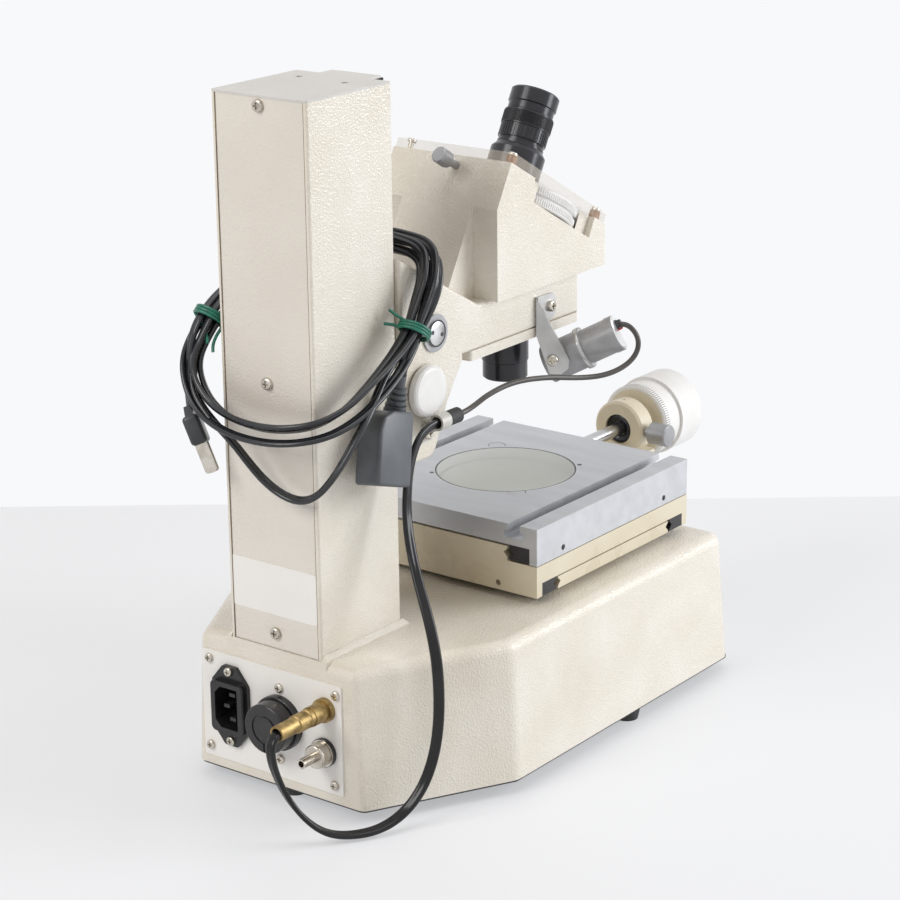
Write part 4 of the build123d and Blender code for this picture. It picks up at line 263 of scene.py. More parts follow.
# %% The finishes of this instrument
fine_cells = ("cells", 0.001, 0.00028)
cover_cells = ("cells", 0.001, 0.00022)
coarse_cells = ("cells", 0.0015, 0.0001)
ground_lines = ("noise", 0.0008, 0.000006)
blasted = ("noise", 0.0006, 0.00004)
moulded = ("noise", 0.0005, 0.00003)
moulded_matt = ("noise", 0.0006, 0.00003)
looks = {}
for name, dark, light, rough, more in (
    ("cream_enamel", (0.745, 0.695, 0.60), (0.835, 0.80, 0.73), (0.07, 0.15),
     {"tone_size": 0.05, "grain": fine_cells}),
    ("smooth_cream", (0.68, 0.61, 0.46), (0.75, 0.69, 0.55), (0.22, 0.36), {"tone_size": 0.03}),
    ("beige_enamel", (0.74, 0.70, 0.64), (0.81, 0.78, 0.72), (0.14, 0.26),
     {"tone_size": 0.08, "grain": cover_cells}),
    ("grey_enamel", (0.60, 0.59, 0.57), (0.68, 0.67, 0.65), (0.3, 0.45),
     {"tone_size": 0.04, "grain": coarse_cells}),
    ("white_enamel", (0.87, 0.86, 0.84), (0.91, 0.90, 0.88), (0.3, 0.42), {"tone_size": 0.04}),
    ("ground_steel", (0.50, 0.51, 0.53), (0.57, 0.58, 0.60), (0.42, 0.5),
     {"metal": 0.7, "tone_size": 0.05, "stretch": (1, 6, 6), "grain": ground_lines}),
    ("turned_steel", (0.52, 0.52, 0.52), (0.60, 0.60, 0.60), (0.2, 0.3),
     {"metal": 1.0, "tone_size": 0.02}),
    ("brushed_sheet", (0.46, 0.46, 0.455), (0.58, 0.575, 0.565), (0.24, 0.36),
     {"metal": 0.9, "tone_size": 0.012}),
    # gap_shade_brown: painted shade for the gaps beside the column cover
    ("gap_shade_brown", (0.16, 0.115, 0.08), (0.28, 0.22, 0.16), (0.5, 0.7), {"tone_size": 0.02}),
    ("black_steel", (0.018, 0.018, 0.02), (0.04, 0.04, 0.045), (0.3, 0.5), {"metal": 0.3}),
    ("satin_chrome", (0.72, 0.72, 0.72), (0.86, 0.86, 0.86), (0.28, 0.4),
     {"metal": 0.85, "tone_size": 0.02}),
    ("nickel", (0.44, 0.40, 0.34), (0.66, 0.62, 0.56), (0.18, 0.32),
     {"metal": 1.0, "tone_size": 0.006}),
    ("aged_brass", (0.20, 0.135, 0.055), (0.47, 0.345, 0.155), (0.34, 0.55),
     {"metal": 1.0, "tone_size": 0.004}),
    ("black_anodise", (0.012, 0.012, 0.016), (0.03, 0.03, 0.036), (0.14, 0.26), {"metal": 0.2}),
    ("bead_blasted", (0.30, 0.30, 0.31), (0.40, 0.40, 0.41), (0.35, 0.5),
     {"metal": 0.6, "tone_size": 0.01, "grain": blasted}),
    ("white_lacquer", (0.80, 0.80, 0.79), (0.86, 0.86, 0.86), (0.25, 0.36), {"tone_size": 0.01}),
    ("black_plastic", (0.012, 0.012, 0.014), (0.024, 0.024, 0.026), (0.16, 0.3),
     {"tone_size": 0.01, "grain": moulded}),
    ("slate_plastic", (0.075, 0.085, 0.095), (0.10, 0.11, 0.125), (0.32, 0.46),
     {"tone_size": 0.01, "grain": moulded_matt}),
    ("dark_slate", (0.028, 0.03, 0.034), (0.046, 0.05, 0.055), (0.26, 0.4),
     {"tone_size": 0.01, "grain": moulded_matt}),
    ("white_nylon", (0.50, 0.49, 0.46), (0.66, 0.65, 0.61), (0.25, 0.4), {"tone_size": 0.005}),
    ("rubber", (0.02, 0.02, 0.02), (0.035, 0.035, 0.035), (0.55, 0.75), {"tone_size": 0.005}),
    ("grey_sheath", (0.014, 0.015, 0.018), (0.03, 0.032, 0.037), (0.12, 0.22),
     {"tone_size": 0.02, "Specular_IOR_Level": 0.5}),
    ("black_sheath", (0.008, 0.008, 0.009), (0.018, 0.018, 0.02), (0.12, 0.22),
     {"tone_size": 0.02, "Specular_IOR_Level": 0.32}),
    ("brown_lead", (0.045, 0.04, 0.035), (0.08, 0.072, 0.064), (0.3, 0.45), {"tone_size": 0.02}),
    ("green_tie", (0.01, 0.13, 0.085), (0.02, 0.2, 0.13), (0.25, 0.4), {"tone_size": 0.004}),
    ("red_sheath", (0.35, 0.02, 0.02), (0.5, 0.05, 0.04), (0.3, 0.45), {"tone_size": 0.004}),
    # amber: painted glint, the orange that the cover's screws show through the acrylic, as tinted
    # rings
    ("amber_glint", (0.22, 0.08, 0.02), (0.34, 0.14, 0.045), (0.15, 0.3), {"tone_size": 0.004}),
):
    looks[name] = finish(name, dark, light, rough, **more)
for name, colour, index, rough, more in (
    ("stage_glass", (0.93, 0.97, 0.95), 1.5, 0.03, {"Alpha": 0.6}),
    ("lens_glass", (0.93, 0.97, 0.99), 1.5, 0.02, {"Transmission_Weight": 1.0}),
    ("acrylic", (0.84, 0.78, 0.68), 1.49, 0.06, {"Alpha": 0.24}),
):
    looks[name] = clear_finish(name, colour, index, rough, **more)
print("finishes", len(looks))

# %% Give each CAD node its finish
node_looks = {
    "cream_enamel": ["base_casting", "column_casting", "head_casting", "objective_plate"],
    "beige_enamel": ["column_cover"],
    "grey_enamel": ["column_top_plate"],
    "white_enamel": ["connector_panel"],
    "ground_steel": ["stage_top"],
    "turned_steel": [
        "rack", "x_way_rollers", "y_way_rollers", "y_spindle", "x_spindle", "pinion_shaft",
    ],
    "black_steel": ["bottom_plate", "guide_rail", "x_way_rails", "y_way_rails"],
    "satin_chrome": ["y_sleeve", "x_sleeve"],
    "brushed_sheet": ["lamp_bracket"],
    "nickel": ["ground_post", "ground_nut", "case_screws", "head_screws"],
    "aged_brass": ["lamp_socket", "lamp_plug"],
    "black_anodise": ["objective", "eyepiece_tube", "diopter_ring"],
    "bead_blasted": [
        "lamp_housing", "bearing_caps", "y_lock_screw", "x_lock_screw", "dial_clamp_screw",
    ],
    "white_lacquer": ["focus_knobs", "angle_dial", "y_thimble", "x_thimble"],
    "black_plastic": [
        "power_inlet", "fuse_holder", "fuse_cap", "switch_frame", "power_rocker", "power_plug",
    ],
    "slate_plastic": ["power_connector"],
    "white_nylon": ["cord_clip"],
    "rubber": ["rubber_feet", "cable_sleeve"],
    "stage_glass": ["stage_glass"],
    "lens_glass": ["condenser_lens"],
    "acrylic": ["dial_cover"],
    "black_sheath": ["lamp_lead", "lamp_cable"],
    "grey_sheath": ["power_hank", "power_tail"],
    "smooth_cream": ["saddle", "stage_base", "y_bracket", "x_bracket"],
}
for look, names in node_looks.items():
    for name in names:
        nodes[name].data.materials.clear()
        nodes[name].data.materials.append(looks[look])
dressed = {name for names in node_looks.values() for name in names}
print("undressed", sorted(set(nodes) - dressed))

# %% [markdown]
# ## Ways of modelling
# Most small pieces here are turned, so they start as a circle that is extruded and scaled ring by
# ring, the way a lathe profile is read. Knurling and graduations are one small tooth, spun round
# the axis as copies. Each piece is made about its own Z axis and then taken to its place.


# %% Modelling helpers
touching = 1e-6


def begin(kind, name, **shape):
    """Adds a primitive with nothing else selected, and puts its place into its mesh."""
    bpy.ops.object.select_all(action="DESELECT")
    getattr(bpy.ops.mesh, f"primitive_{kind}_add")(**shape)
    bpy.context.object.name = name
    bpy.ops.object.transform_apply(location=True, rotation=True, scale=True)
    return bpy.context.object


def edit_all():
    """Opens edit mode on the active piece, with everything selected."""
    bpy.ops.object.mode_set(mode="EDIT")
    bpy.ops.mesh.select_all(action="SELECT")


def close_edit(merge=0.0):
    """Merges doubles where asked, turns the faces outwards and leaves edit mode."""
    bpy.ops.mesh.select_all(action="SELECT")
    if merge:
        bpy.ops.mesh.remove_doubles(threshold=merge)
    bpy.ops.mesh.normals_make_consistent(inside=False)
    bpy.ops.object.mode_set(mode="OBJECT")


def block(name, size, middle=(0, 0, 0)):
    """A box of this size about this middle, both in millimetres."""
    return begin(
        "cube", name, size=1, location=[v * mm for v in middle], scale=[v * mm for v in size]
    )


def select_edges(piece, wanted):
    """In edit mode, selects the edges that wanted accepts, and nothing else."""
    bpy.ops.mesh.select_all(action="DESELECT")
    bpy.context.tool_settings.mesh_select_mode = (False, True, False)
    shape = bmesh.from_edit_mesh(piece.data)
    for edge in shape.edges:
        edge.select = wanted(*(v.co for v in edge.verts))


def raise_rings(start, rings):
    """Extrudes what is selected along Z, ring by ring, and scales it to each (radius, height)."""
    radius, height = start
    for next_radius, next_height in rings:
        bpy.ops.mesh.extrude_region_move(
            TRANSFORM_OT_translate={"value": (0, 0, (next_height - height) * mm)}
        )
        bpy.ops.transform.resize(value=(next_radius / radius, next_radius / radius, 1))
        radius, height = next_radius, next_height


def first_ring(name, sides, radius, height, fill):
    """The circle that a turned piece is raised from."""
    place = (0, 0, height * mm)
    return begin(
        "circle", name, vertices=sides, radius=radius * mm, fill_type=fill, location=place
    )


def turned(name, rings, sides=48):
    """A solid turned piece. rings are (radius, height) in millimetres from one end to the other."""
    radius, height = rings[0]
    piece = first_ring(name, sides, radius, height, "NGON")
    edit_all()
    raise_rings(rings[0], rings[1:])
    close_edit()
    return piece


def bored(name, outline, sides=64):
    """A turned piece with a bore. outline is its closed section as (radius, height)."""
    radius, height = outline[0]
    piece = first_ring(name, sides, radius, height, "NOTHING")
    edit_all()
    raise_rings(outline[0], [*outline[1:], outline[0]])
    close_edit(merge=touching)
    return piece


def spin_copies(count):
    """Copies what is selected round the Z axis, count to the turn."""
    bpy.ops.mesh.spin(
        steps=count, dupli=True, angle=2 * math.pi, center=(0, 0, 0), axis=(0, 0, 1)
    )


def ring_of_teeth(name, count, radius, size, height):
    """Equal teeth round the Z axis: one block with a worn edge, spun as copies."""
    piece = block(name, size, (radius, 0, height))
    edit_all()
    bpy.ops.mesh.bevel(offset=min(size) * 0.2 * mm, segments=1)
    bpy.ops.mesh.select_all(action="SELECT")
    spin_copies(count)
    close_edit(merge=touching)
    return piece


def frame_at(origin, z, x=(1, 0, 0)):
    """The matrix of a place in millimetres whose Z, and roughly whose X, point this way."""
    z = Vector(z).normalized()
    x = Vector(x)
    x = (x - z * x.dot(z)).normalized()
    axes = Matrix((x, z.cross(x), z)).transposed().to_4x4()
    return Matrix.Translation(Vector(origin) * mm) @ axes


def fit(piece, place, body, look, angle=35):
    """Takes a piece to its place, smooths and paints it, and ties it to its body."""
    bpy.ops.object.select_all(action="DESELECT")
    piece.select_set(True)
    bpy.context.view_layer.objects.active = piece
    piece.matrix_world = place
    bpy.ops.object.transform_apply(location=True, rotation=True, scale=True)
    bpy.ops.object.shade_smooth_by_angle(angle=math.radians(angle))
    piece.data.materials.append(looks[look])
    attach(piece, body)
    return piece


def copy_of(piece, name):
    """The same piece again, with its own mesh."""
    twin = piece.copy()
    twin.data = piece.data.copy()
    twin.name = name
    bpy.context.scene.collection.objects.link(twin)
    return twin


print("helpers ready")

# %% [markdown]
# ## Mains plug
# The plug hangs from the hank, seen along its width, so its two flat blades nearly cover each
# other. The blades are plated strips. Each is one block with its far corners bevelled, and a dark
# disc of painted shade that shows on both of its sides stands for the round hole.

# %% Plug body and blades
plug_middle = Vector((42.6, 214.0, 201.3))
plug_down = Vector((-0.4512, 0, -0.8924))
plug_across = Vector((-0.58, 0.757, 0.293))
plug_place = frame_at(plug_middle, plug_down, plug_across)
plug_body = block("plug_body", (19, 9, 16))
edit_all()
bpy.ops.mesh.bevel(offset=2.2 * mm, segments=4)
bpy.ops.mesh.select_all(action="DESELECT")
bpy.context.tool_settings.mesh_select_mode = (False, False, True)
shape = bmesh.from_edit_mesh(plug_body.data)
for face in shape.faces:
    face.select = face.normal.z < -0.99
bpy.ops.mesh.extrude_region_move(TRANSFORM_OT_translate={"value": (0, 0, -5 * mm)})
bpy.ops.transform.resize(value=(0.5, 0.7, 1))
close_edit()
fit(plug_body, plug_place, "head", "dark_slate")
blade_size = (1.5, 6.3, 16)
blade_offset, blade_middle, blade_corner_from = 6.3, 15.8, 23
hole_radius, hole_reach, hole_middle = 1.5, 0.82, 20.6


def far_corner(a, b):
    """Whether an edge runs through the blade's thickness at its far end."""
    across = abs(a.y - b.y) < touching and abs(a.x - b.x) > 0.1 * mm
    return min(a.z, b.z) > blade_corner_from * mm and across


for side in (-1, 1):
    blade = block(f"plug_blade_{side + 2}", blade_size, (side * blade_offset, 0, blade_middle))
    edit_all()
    select_edges(blade, far_corner)
    bpy.ops.mesh.bevel(offset=1.6 * mm, segments=4)
    close_edit()
    fit(blade, plug_place, "head", "nickel")
    # painted shade: a black disc fills each blade's round hole
    hole_shade = turned(
        f"plug_hole_shade_{side + 2}", [(hole_radius, -hole_reach), (hole_radius, hole_reach)], 24
    )
    hole_place = plug_place @ frame_at((side * blade_offset, 0, hole_middle), (1, 0, 0))
    fit(hole_shade, hole_place, "head", "black_steel")
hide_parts("power_plug")

# %% [markdown]
# ## Appliance connector
# The moulded connector is a block with one cut shoulder and soft edges, and a ribbed neck that
# keeps the cord from kinking. The block is bevelled twice: once wide, on the shoulder, and once
# small, all round.

# %% Connector block and ribbed neck
connector_place = frame_at((-44.27, 166.55, 194.57), (0.15, -0.3, 0.9421), (0, 0.9528, 0.3034))
connector_size = Vector((28, 16, 39))
connector_shoulder, connector_edge = 11, 1.8
near_corner = connector_size / 2 - Vector((1, 1, 0.5))
connector = block("connector_block", connector_size)
edit_all()
select_edges(
    connector,
    lambda *ends: all(v.x > near_corner.x * mm and v.z > near_corner.z * mm for v in ends),
)
bpy.ops.mesh.bevel(offset=connector_shoulder * mm, segments=2)
bpy.ops.mesh.select_all(action="SELECT")
bpy.ops.mesh.bevel(offset=connector_edge * mm, segments=3, clamp_overlap=True)
close_edit()
fit(connector, connector_place, "head", "slate_plastic", 50)
neck_foot = Vector((-41.35, 154.03, 210.82))
neck_end = Vector((-45.16, 152.62, 230.78))
neck_rings = [(6.0, -3), (6.0, 1.0)]
rib_count, rib_pitch, rib_narrowing, groove_depth = 4, 3.1, 0.42, 1.3
for rib in range(rib_count):
    low, wide = 1.0 + rib * rib_pitch, 5.6 - rib * rib_narrowing
    thin = wide - groove_depth
    neck_rings += [(thin, low), (thin, low + 1.0), (wide, low + 1.1), (wide, low + 3.0)]
neck_rings += [(3.0, 13.6), (2.9, (neck_end - neck_foot).length)]
neck = turned("connector_neck", neck_rings, 32)
fit(neck, frame_at(neck_foot, neck_end - neck_foot), "head", "slate_plastic")
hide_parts("power_connector")
print("connector ready")

# %% [markdown]
# ## Cords
# There are three free cords. The mains cord is wound round the column in five turns and tied; it
# runs from the connector up into the hank, round it, once through the slack turn that hangs below
# and out to the plug. The lamp's thin lead and its thick cable meet in a sleeve at the clip. Each
# is a spline of order three through the CAD route's points, which gives it the smooth line of a
# heavy cord.


# %% Spline and tube helpers
ring_size = 16
core = 0.49  # radius of one core of a twin cord, as a share of half the cord's width


def spline(name, points, radius):
    """A NURBS curve with these control points, in metres, and a round section."""
    curve = bpy.data.curves.new(name, "CURVE")
    curve.dimensions = "3D"
    run = curve.splines.new("NURBS")
    run.points.add(len(points) - 1)
    for point, place in zip(run.points, points):
        point.co = (*place, 1)
    run.order_u = 3
    run.use_endpoint_u = True
    run.resolution_u = 10
    curve.bevel_depth = radius
    curve.bevel_resolution = ring_size // 2 - 2
    curve.use_fill_caps = True
    piece = bpy.data.objects.new(name, curve)
    bpy.context.scene.collection.objects.link(piece)
    return piece


def centre_line(piece):
    """The points that a curve's own line follows."""
    depth = piece.data.bevel_depth
    piece.data.bevel_depth = 0
    bpy.context.view_layer.update()
    line = bpy.data.meshes.new_from_object(piece)
    piece.data.bevel_depth = depth
    piece.update_tag()
    bpy.context.view_layer.update()
    points = [v.co.copy() for v in line.vertices]
    bpy.data.meshes.remove(line)
    return points


def length_of(points):
    """The length of a line in metres, to the millimetre."""
    return round(sum((b - a).length for a, b in zip(points, points[1:])), 3)


def twin_cord(name, points, radius, waist=0.34, twist=0.0):
    """A flat cord of two round cores side by side with a groove between. waist 1 leaves it round.

    twist is how far the section turns from the line's start to its end. Returns the piece and
    the points that its line follows."""
    tube = spline(name, [Vector(p) * mm for p in points], radius)
    line = centre_line(tube)
    mesh = bpy.data.meshes.new_from_object(tube)
    bpy.data.objects.remove(tube)
    starts = range(0, len(mesh.vertices), ring_size)
    rings = [mesh.vertices[start : start + ring_size] for start in starts]
    for number, ring in enumerate(rings):
        middle = sum((v.co for v in ring), Vector()) / ring_size
        phase = twist * (1 - number / (len(rings) - 1))
        for step, vertex in enumerate(ring):
            angle = 2 * math.pi * step / ring_size + phase
            rise = math.sqrt((1 - core) ** 2 - (core * math.sin(angle)) ** 2)
            reach = core * abs(math.cos(angle)) + rise
            vertex.co = middle + (vertex.co - middle) * max(waist, reach)
    piece = bpy.data.objects.new(name, mesh)
    bpy.context.scene.collection.objects.link(piece)
    for face in mesh.polygons:
        face.use_smooth = True
    print(name, "rings", len(rings))
    return piece, line


# %% Route of the mains cord
cord_radius = 2.75 * mm
bundle_radius = 4.85
# Each place on the bundle's centre line, and how far the turns spread upwards there
hank_route = [
    ((-46.5, 153.0, 241.5), 1.0),
    ((-46.0, 142.0, 251.5), 1.0),
    ((-45.0, 133.5, 264.0), 1.0),
    ((-44.8, 126.2, 276.8), 1.0),
    ((-36.0, 116.8, 287.4), 1.0),
    ((-12.0, 112.5, 288.6), 1.0),
    ((12.0, 112.5, 288.6), 1.0),
    ((36.0, 117.5, 286.6), 1.0),
    ((45.6, 134.5, 279.4), 1.0),
    ((45.0, 156.0, 274.0), 1.0),
    ((42.5, 178.0, 269.5), 1.0),
    ((41.5, 197.0, 262.0), 1.0),
    ((44.0, 207.5, 250.0), 1.0),
    ((47.5, 211.5, 237.0), 0.95),
    ((42.0, 215.0, 225.0), 0.85),
    ((30.0, 218.5, 215.5), 0.8),
    ((12.0, 221.0, 210.5), 0.78),
    ((-9.0, 221.5, 209.5), 0.78),
    ((-28.0, 218.5, 211.5), 0.8),
    ((-41.0, 209.0, 215.0), 0.85),
    ((-45.5, 193.0, 220.5), 0.9),
    ((-47.0, 180.0, 227.0), 0.95),
    ((-47.0, 166.0, 234.0), 1.0),
]
slack_route = [
    (42.0, 216.0, 223.0),
    (28.0, 219.5, 212.0),
    (12.5, 218.5, 200.6),
    (4.0, 216.5, 190.5),
    (-5.0, 214.5, 181.5),
    (-16.0, 213.0, 175.8),
    (-27.0, 212.5, 175.0),
    (-36.5, 211.5, 179.5),
    (-43.0, 208.5, 188.0),
    (-47.5, 204.5, 197.0),
    (-50.0, 197.0, 208.0),
    (-50.5, 186.0, 219.0),
]
turns = 5
slack_turn, slack_from, slack_to = 1, 14, 22  # the turn that hangs slack, and where it leaves
first_place, last_place = 2, 12  # where the first turn starts and the last one ends
hank_middle = Vector((0, 172, 0))
steps = len(hank_route)


def strand_point(turn, index):
    """A control point of one turn, set off from the bundle's centre line."""
    place, upward = hank_route[index]
    before = Vector(hank_route[index - 1][0])
    after = Vector(hank_route[(index + 1) % steps][0])
    along = (after - before).normalized()
    outward = Vector(place) - hank_middle
    outward.z = 0
    outward = (outward - outward.project(along)).normalized()
    sideways = along.cross(outward)
    angle = 2 * math.pi / turns * (turn + index / steps)
    offset = outward * math.cos(angle) + sideways * math.sin(angle) * upward
    return Vector(place) + offset * bundle_radius


from_neck = ((0, 0, 0), (-0.4, -0.5, 3.9), (-1.0, -3.1, 11.0))
to_plug = ((48.0, 212.0, 231.0), (47.6, 213.8, 219.0), (45.9, 214.0, 208.8))
mains_points = [neck_end + Vector(p) for p in from_neck]
for turn in range(turns):
    for index in range(steps):
        if turn == 0 and index < first_place:
            continue
        if turn == slack_turn and index == slack_from:
            mains_points += [Vector(p) for p in slack_route]
        if turn == slack_turn and slack_from <= index < slack_to:
            continue
        if turn == turns - 1 and index > last_place:
            break
        mains_points.append(strand_point(turn, index))
mains_points += [Vector(p) for p in to_plug]
mains_cord, mains_line = twin_cord("mains_cord", mains_points, cord_radius, twist=3.75 * math.pi)
mains_cord.data.materials.append(looks["grey_sheath"])
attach(mains_cord, "head")
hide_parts("power_hank", "power_tail")
print("mains cord", length_of(mains_line), "m")


# %% The lamp's lead and cable
lead_points = [
    (-65.53, -11.01, 222.92),
    (-71.42, -13.99, 226.28),
    (-79.0, -16.6, 219.8),
    (-80.2, -16.6, 211.0),
    (-77.0, -11.5, 203.2),
    (-71.5, 1.0, 198.9),
    (-64.5, 17.0, 199.6),
    (-57.5, 41.0, 204.9),
    (-51.5, 63.5, 206.6),
    (-48.0, 81.0, 203.4),
    (-45.2, 90.0, 198.8),
    (-44.0, 96.5, 196.8),
    (-44.0, 102.0, 196.8),
]
cable_points = [
    (-34.3, 241.5, 61.0),
    (-34.3, 246.5, 61.0),
    (-34.3, 251.2, 57.0),
    (-34.9, 252.0, 49.5),
    (-36.6, 250.3, 40.0),
    (-40.0, 247.0, 28.0),
    (-46.0, 241.5, 15.5),
    (-54.0, 234.0, 6.0),
    (-62.5, 224.0, 3.1),
    (-71.0, 211.0, 3.6),
    (-77.0, 198.5, 9.0),
    (-81.5, 188.0, 20.0),
    (-84.0, 181.0, 35.0),
    (-85.2, 177.5, 52.0),
    (-85.0, 176.0, 71.0),
    (-82.5, 174.8, 91.0),
    (-75.5, 171.5, 108.0),
    (-65.0, 166.0, 123.5),
    (-56.0, 160.5, 138.0),
    (-50.5, 156.8, 153.0),
    (-47.5, 152.8, 167.5),
    (-45.6, 147.3, 181.0),
    (-45.0, 140.0, 191.5),
    (-44.4, 132.0, 195.6),
    (-44.0, 123.0, 196.8),
    (-44.0, 108.4, 196.8),
]
lead_radius, cable_radius = 1.5 * mm, 3.0 * mm
lead, lead_line = twin_cord("lamp_lead_tube", lead_points, lead_radius, waist=1.0)
cable, cable_line = twin_cord(
    "lamp_cable_tube", cable_points, cable_radius, waist=0.45, twist=1.2 * math.pi
)
lead.data.materials.append(looks["brown_lead"])
cable.data.materials.append(looks["black_sheath"])
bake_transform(lead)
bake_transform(cable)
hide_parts("lamp_lead")
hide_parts("lamp_cable")
print("lead", length_of(lead_line), "cable", length_of(cable_line))

# %% [markdown]
# ## Ties
# Two soft green ties hold the hank. Each is a thin wire wound two and a half times round the bundle
# with its ends left standing, so it is a helix about the bundle's line, swept as a round tube.


# %% Green ties round the hank
tie_radius, tie_wire, tie_pitch = 8.7, 0.85, 0.13
tie_steps, steps_per_turn = 30, 12


def tie(name, middle, along, ends):
    """A wire wound round the hank here. ends are where its free ends point, from the middle."""
    place = frame_at(middle, along, (0, 0, 1))
    local = place.to_3x3().inverted()
    first, last = (local @ Vector(end) for end in ends)
    points = [first, first * 0.7 + Vector((0, 0, 0.8))]
    start = math.atan2(first.y, first.x)
    for step in range(tie_steps + 1):
        angle = start + 2 * math.pi * step / steps_per_turn
        x, y = math.cos(angle) * tie_radius, math.sin(angle) * tie_radius
        points.append(Vector((x, y, step * tie_pitch - 2.0)))
    points += [last * 0.7, last]
    wire = spline(name, [p * mm for p in points], tie_wire * mm)
    bpy.context.view_layer.update()
    piece = bpy.data.objects.new(name, bpy.data.meshes.new_from_object(wire))
    bpy.data.objects.remove(wire)
    bpy.context.scene.collection.objects.link(piece)
    return fit(piece, place, "head", "green_tie", 60)


tie("tie_left", (42.2, 199.8, 259.0), (0.12, 0.65, -0.75), ((-8, 8, -16), (-6, 10, -11)))
tie("tie_right", (-46.0, 142.6, 252.0), (0.03, -0.66, 0.75), ((10, 12, 5), (9, 9, 12)))
print("ties tied")

# %% [markdown]
# ## Dial and window
# The angle dial is a thick white disc whose rim shows in the window of the box. Its rim has two
# bands of fine ribs to turn it by, made as one rib spun round the dial's tilted axis.

# %% Ribs on the dial rim
tilt = math.radians(29.4)
tilt_axis = (0, -math.sin(tilt), math.cos(tilt))
box_front, box_front_top, axis_run = -41.5, 272.5, 44.4
axis_foot = (0, box_front + axis_run * math.cos(tilt), box_front_top + axis_run * math.sin(tilt))
tilted = frame_at(axis_foot, tilt_axis)
for band, height in (("upper", -3.0), ("lower", -8.6)):
    ribs = ring_of_teeth(f"dial_ribs_{band}", 170, 41.05, (0.7, 0.75, 3.0), height)
    fit(ribs, tilted, "dial", "white_lacquer")
print("dial ribs at", [round(v, 1) for v in axis_foot])

# %% Painted amber glints round two screws in the acrylic cover
# Each ring is a painted glint: the orange seen round a screw through the acrylic, not a part of its
# own.
cover_glint_outline = [(3.1, 0.4), (3.1, 5.2), (2.8, 5.45), (1.8, 5.45), (1.8, 0.4)]
glint_offset = -34.3
for number, run in enumerate((-40.2, 51.5)):
    bush_and_glint_ring = bored(f"cover_glint_{number}", cover_glint_outline, 32)
    bush_place = tilted @ Matrix.Translation((glint_offset * mm, run * mm, 0))
    fit(bush_and_glint_ring, bush_place, "head", "amber_glint")
print("amber_glints fitted")

# %% [markdown]
# ## Eyepiece
# The diopter ring has a diamond knurl: rows of small four-sided points, each row turned by half a
# pitch. The barrel under it is fluted, which shows as bright upright streaks in the black finish.

# %% Knurled diopter ring and fluted barrel
cover_top = 5.6  # the clear cover's face, above the dial's top
knurl_points, knurl_row_count, knurl_pitch = 84, 12, 0.6
knurl = begin(
    "cone", "diopter_knurl", vertices=4, radius1=0.62 * mm, radius2=0.1 * mm, depth=0.35 * mm,
    location=(14.3 * mm, 0, 31.0 * mm), rotation=(0, math.pi / 2, 0),
)
edit_all()
spin_copies(knurl_points)
close_edit(merge=touching)
knurl_rows = [knurl]
knurl_rows += [copy_of(knurl, f"diopter_knurl_{row}") for row in range(1, knurl_row_count)]
for row, piece in enumerate(knurl_rows):
    turn_by = Matrix.Rotation(math.pi / knurl_points * (row % 2), 4, "Z")
    row_place = tilted @ Matrix.Translation((0, 0, (cover_top + row * knurl_pitch) * mm)) @ turn_by
    fit(piece, row_place, "diopter", "black_anodise", 10)
flutes = ring_of_teeth("barrel_flutes", 44, 13.8, (0.45, 1.1, 6.4), cover_top + 26.2)
fit(flutes, tilted, "head", "black_anodise")
print("knurl rows", len(knurl_rows))

# %% [markdown]
# ## Micrometers
# Both micrometers are alike, so every piece is made once for the front one and copied for the side
# one. The drum has a hundred fine lines round its front edge and a cream disc in its face; the
# bracket has a black bush round the spindle, and the lock screw a straight knurl and a pale cap.

# %% Drum lines, face disc, bush and lock knob
y_screw_z, x_screw_z, lock_reach = 124.0, 103.0, 122.8
ways = {
    "y": (
        frame_at((0, 0, y_screw_z), (0, -1, 0)),
        frame_at((0, -lock_reach, y_screw_z), (-1, 0, 0)),
        "saddle",
    ),
    "x": (
        frame_at((0, 0, x_screw_z), (1, 0, 0), (0, 1, 0)),
        frame_at((lock_reach, 0, x_screw_z), (0, -1, 0)),
        "base",
    ),
}
disc_outline = [(20.4, 136.6), (20.4, 136.45), (20.2, 136.38), (9.8, 136.38), (9.5, 136.6)]
bush_outline = [
    (9.1, 121.45), (9.1, 119.2), (7.6, 118.6), (5.0, 119.4), (4.3, 120.0), (4.3, 121.45),
]
cap_rings = [(6.1, 33.9), (6.1, 34.5), (5.4, 34.95), (4.2, 35.05)]
for way, (screw_place, lock_place, carrier) in ways.items():
    marks = ring_of_teeth(f"{way}_drum_marks", 100, 22.82, (0.06, 0.3, 4.0), 139.2)
    fit(marks, screw_place, f"{way}_drum", "black_steel")
    disc = bored(f"{way}_drum_disc", disc_outline)
    fit(disc, screw_place, f"{way}_drum", "smooth_cream")
    bush_and_glint_ring = bored(f"{way}_bush", bush_outline)
    fit(bush_and_glint_ring, screw_place, carrier, "black_anodise")
    knurl = ring_of_teeth(f"{way}_lock_knurl", 40, 6.85, (0.5, 0.6, 11.0), 27.4)
    fit(knurl, lock_place, f"{way}_lock", "bead_blasted")
    cap = turned(f"{way}_lock_cap", cap_rings)
    fit(cap, lock_place, f"{way}_lock", "white_lacquer")
print("micrometers dressed")

# %% [markdown]
# ## Stage
# The glass sits in a thin dark seal with a bright rim round it. The two finger notches beside it
# are filled by flush discs that leave only a hairline round them.

# %% Glass seal and notch discs
in_place = Matrix.Identity(4)
for name, wide, narrow, top, look in (
    ("glass_seal", 41.0, 40.3, 130.04, "black_steel"),
    ("glass_rim", 41.5, 41.02, 130.03, "turned_steel"),
):
    outline = [(wide, 129.8), (wide, top), (narrow, top), (narrow, 129.8)]
    fit(bored(name, outline, 128), in_place, "stage", look)
for number, (x, y) in enumerate(((30.8, -33.6), (-29.6, 30.0))):
    disc = turned(f"notch_disc_{number}", [(4.85, 128.1), (4.85, 129.85), (4.7, 129.98)])
    disc_place = Matrix.Translation((x * mm, y * mm, 0))
    fit(disc, disc_place, "stage", "ground_steel")
print("stage dressed")
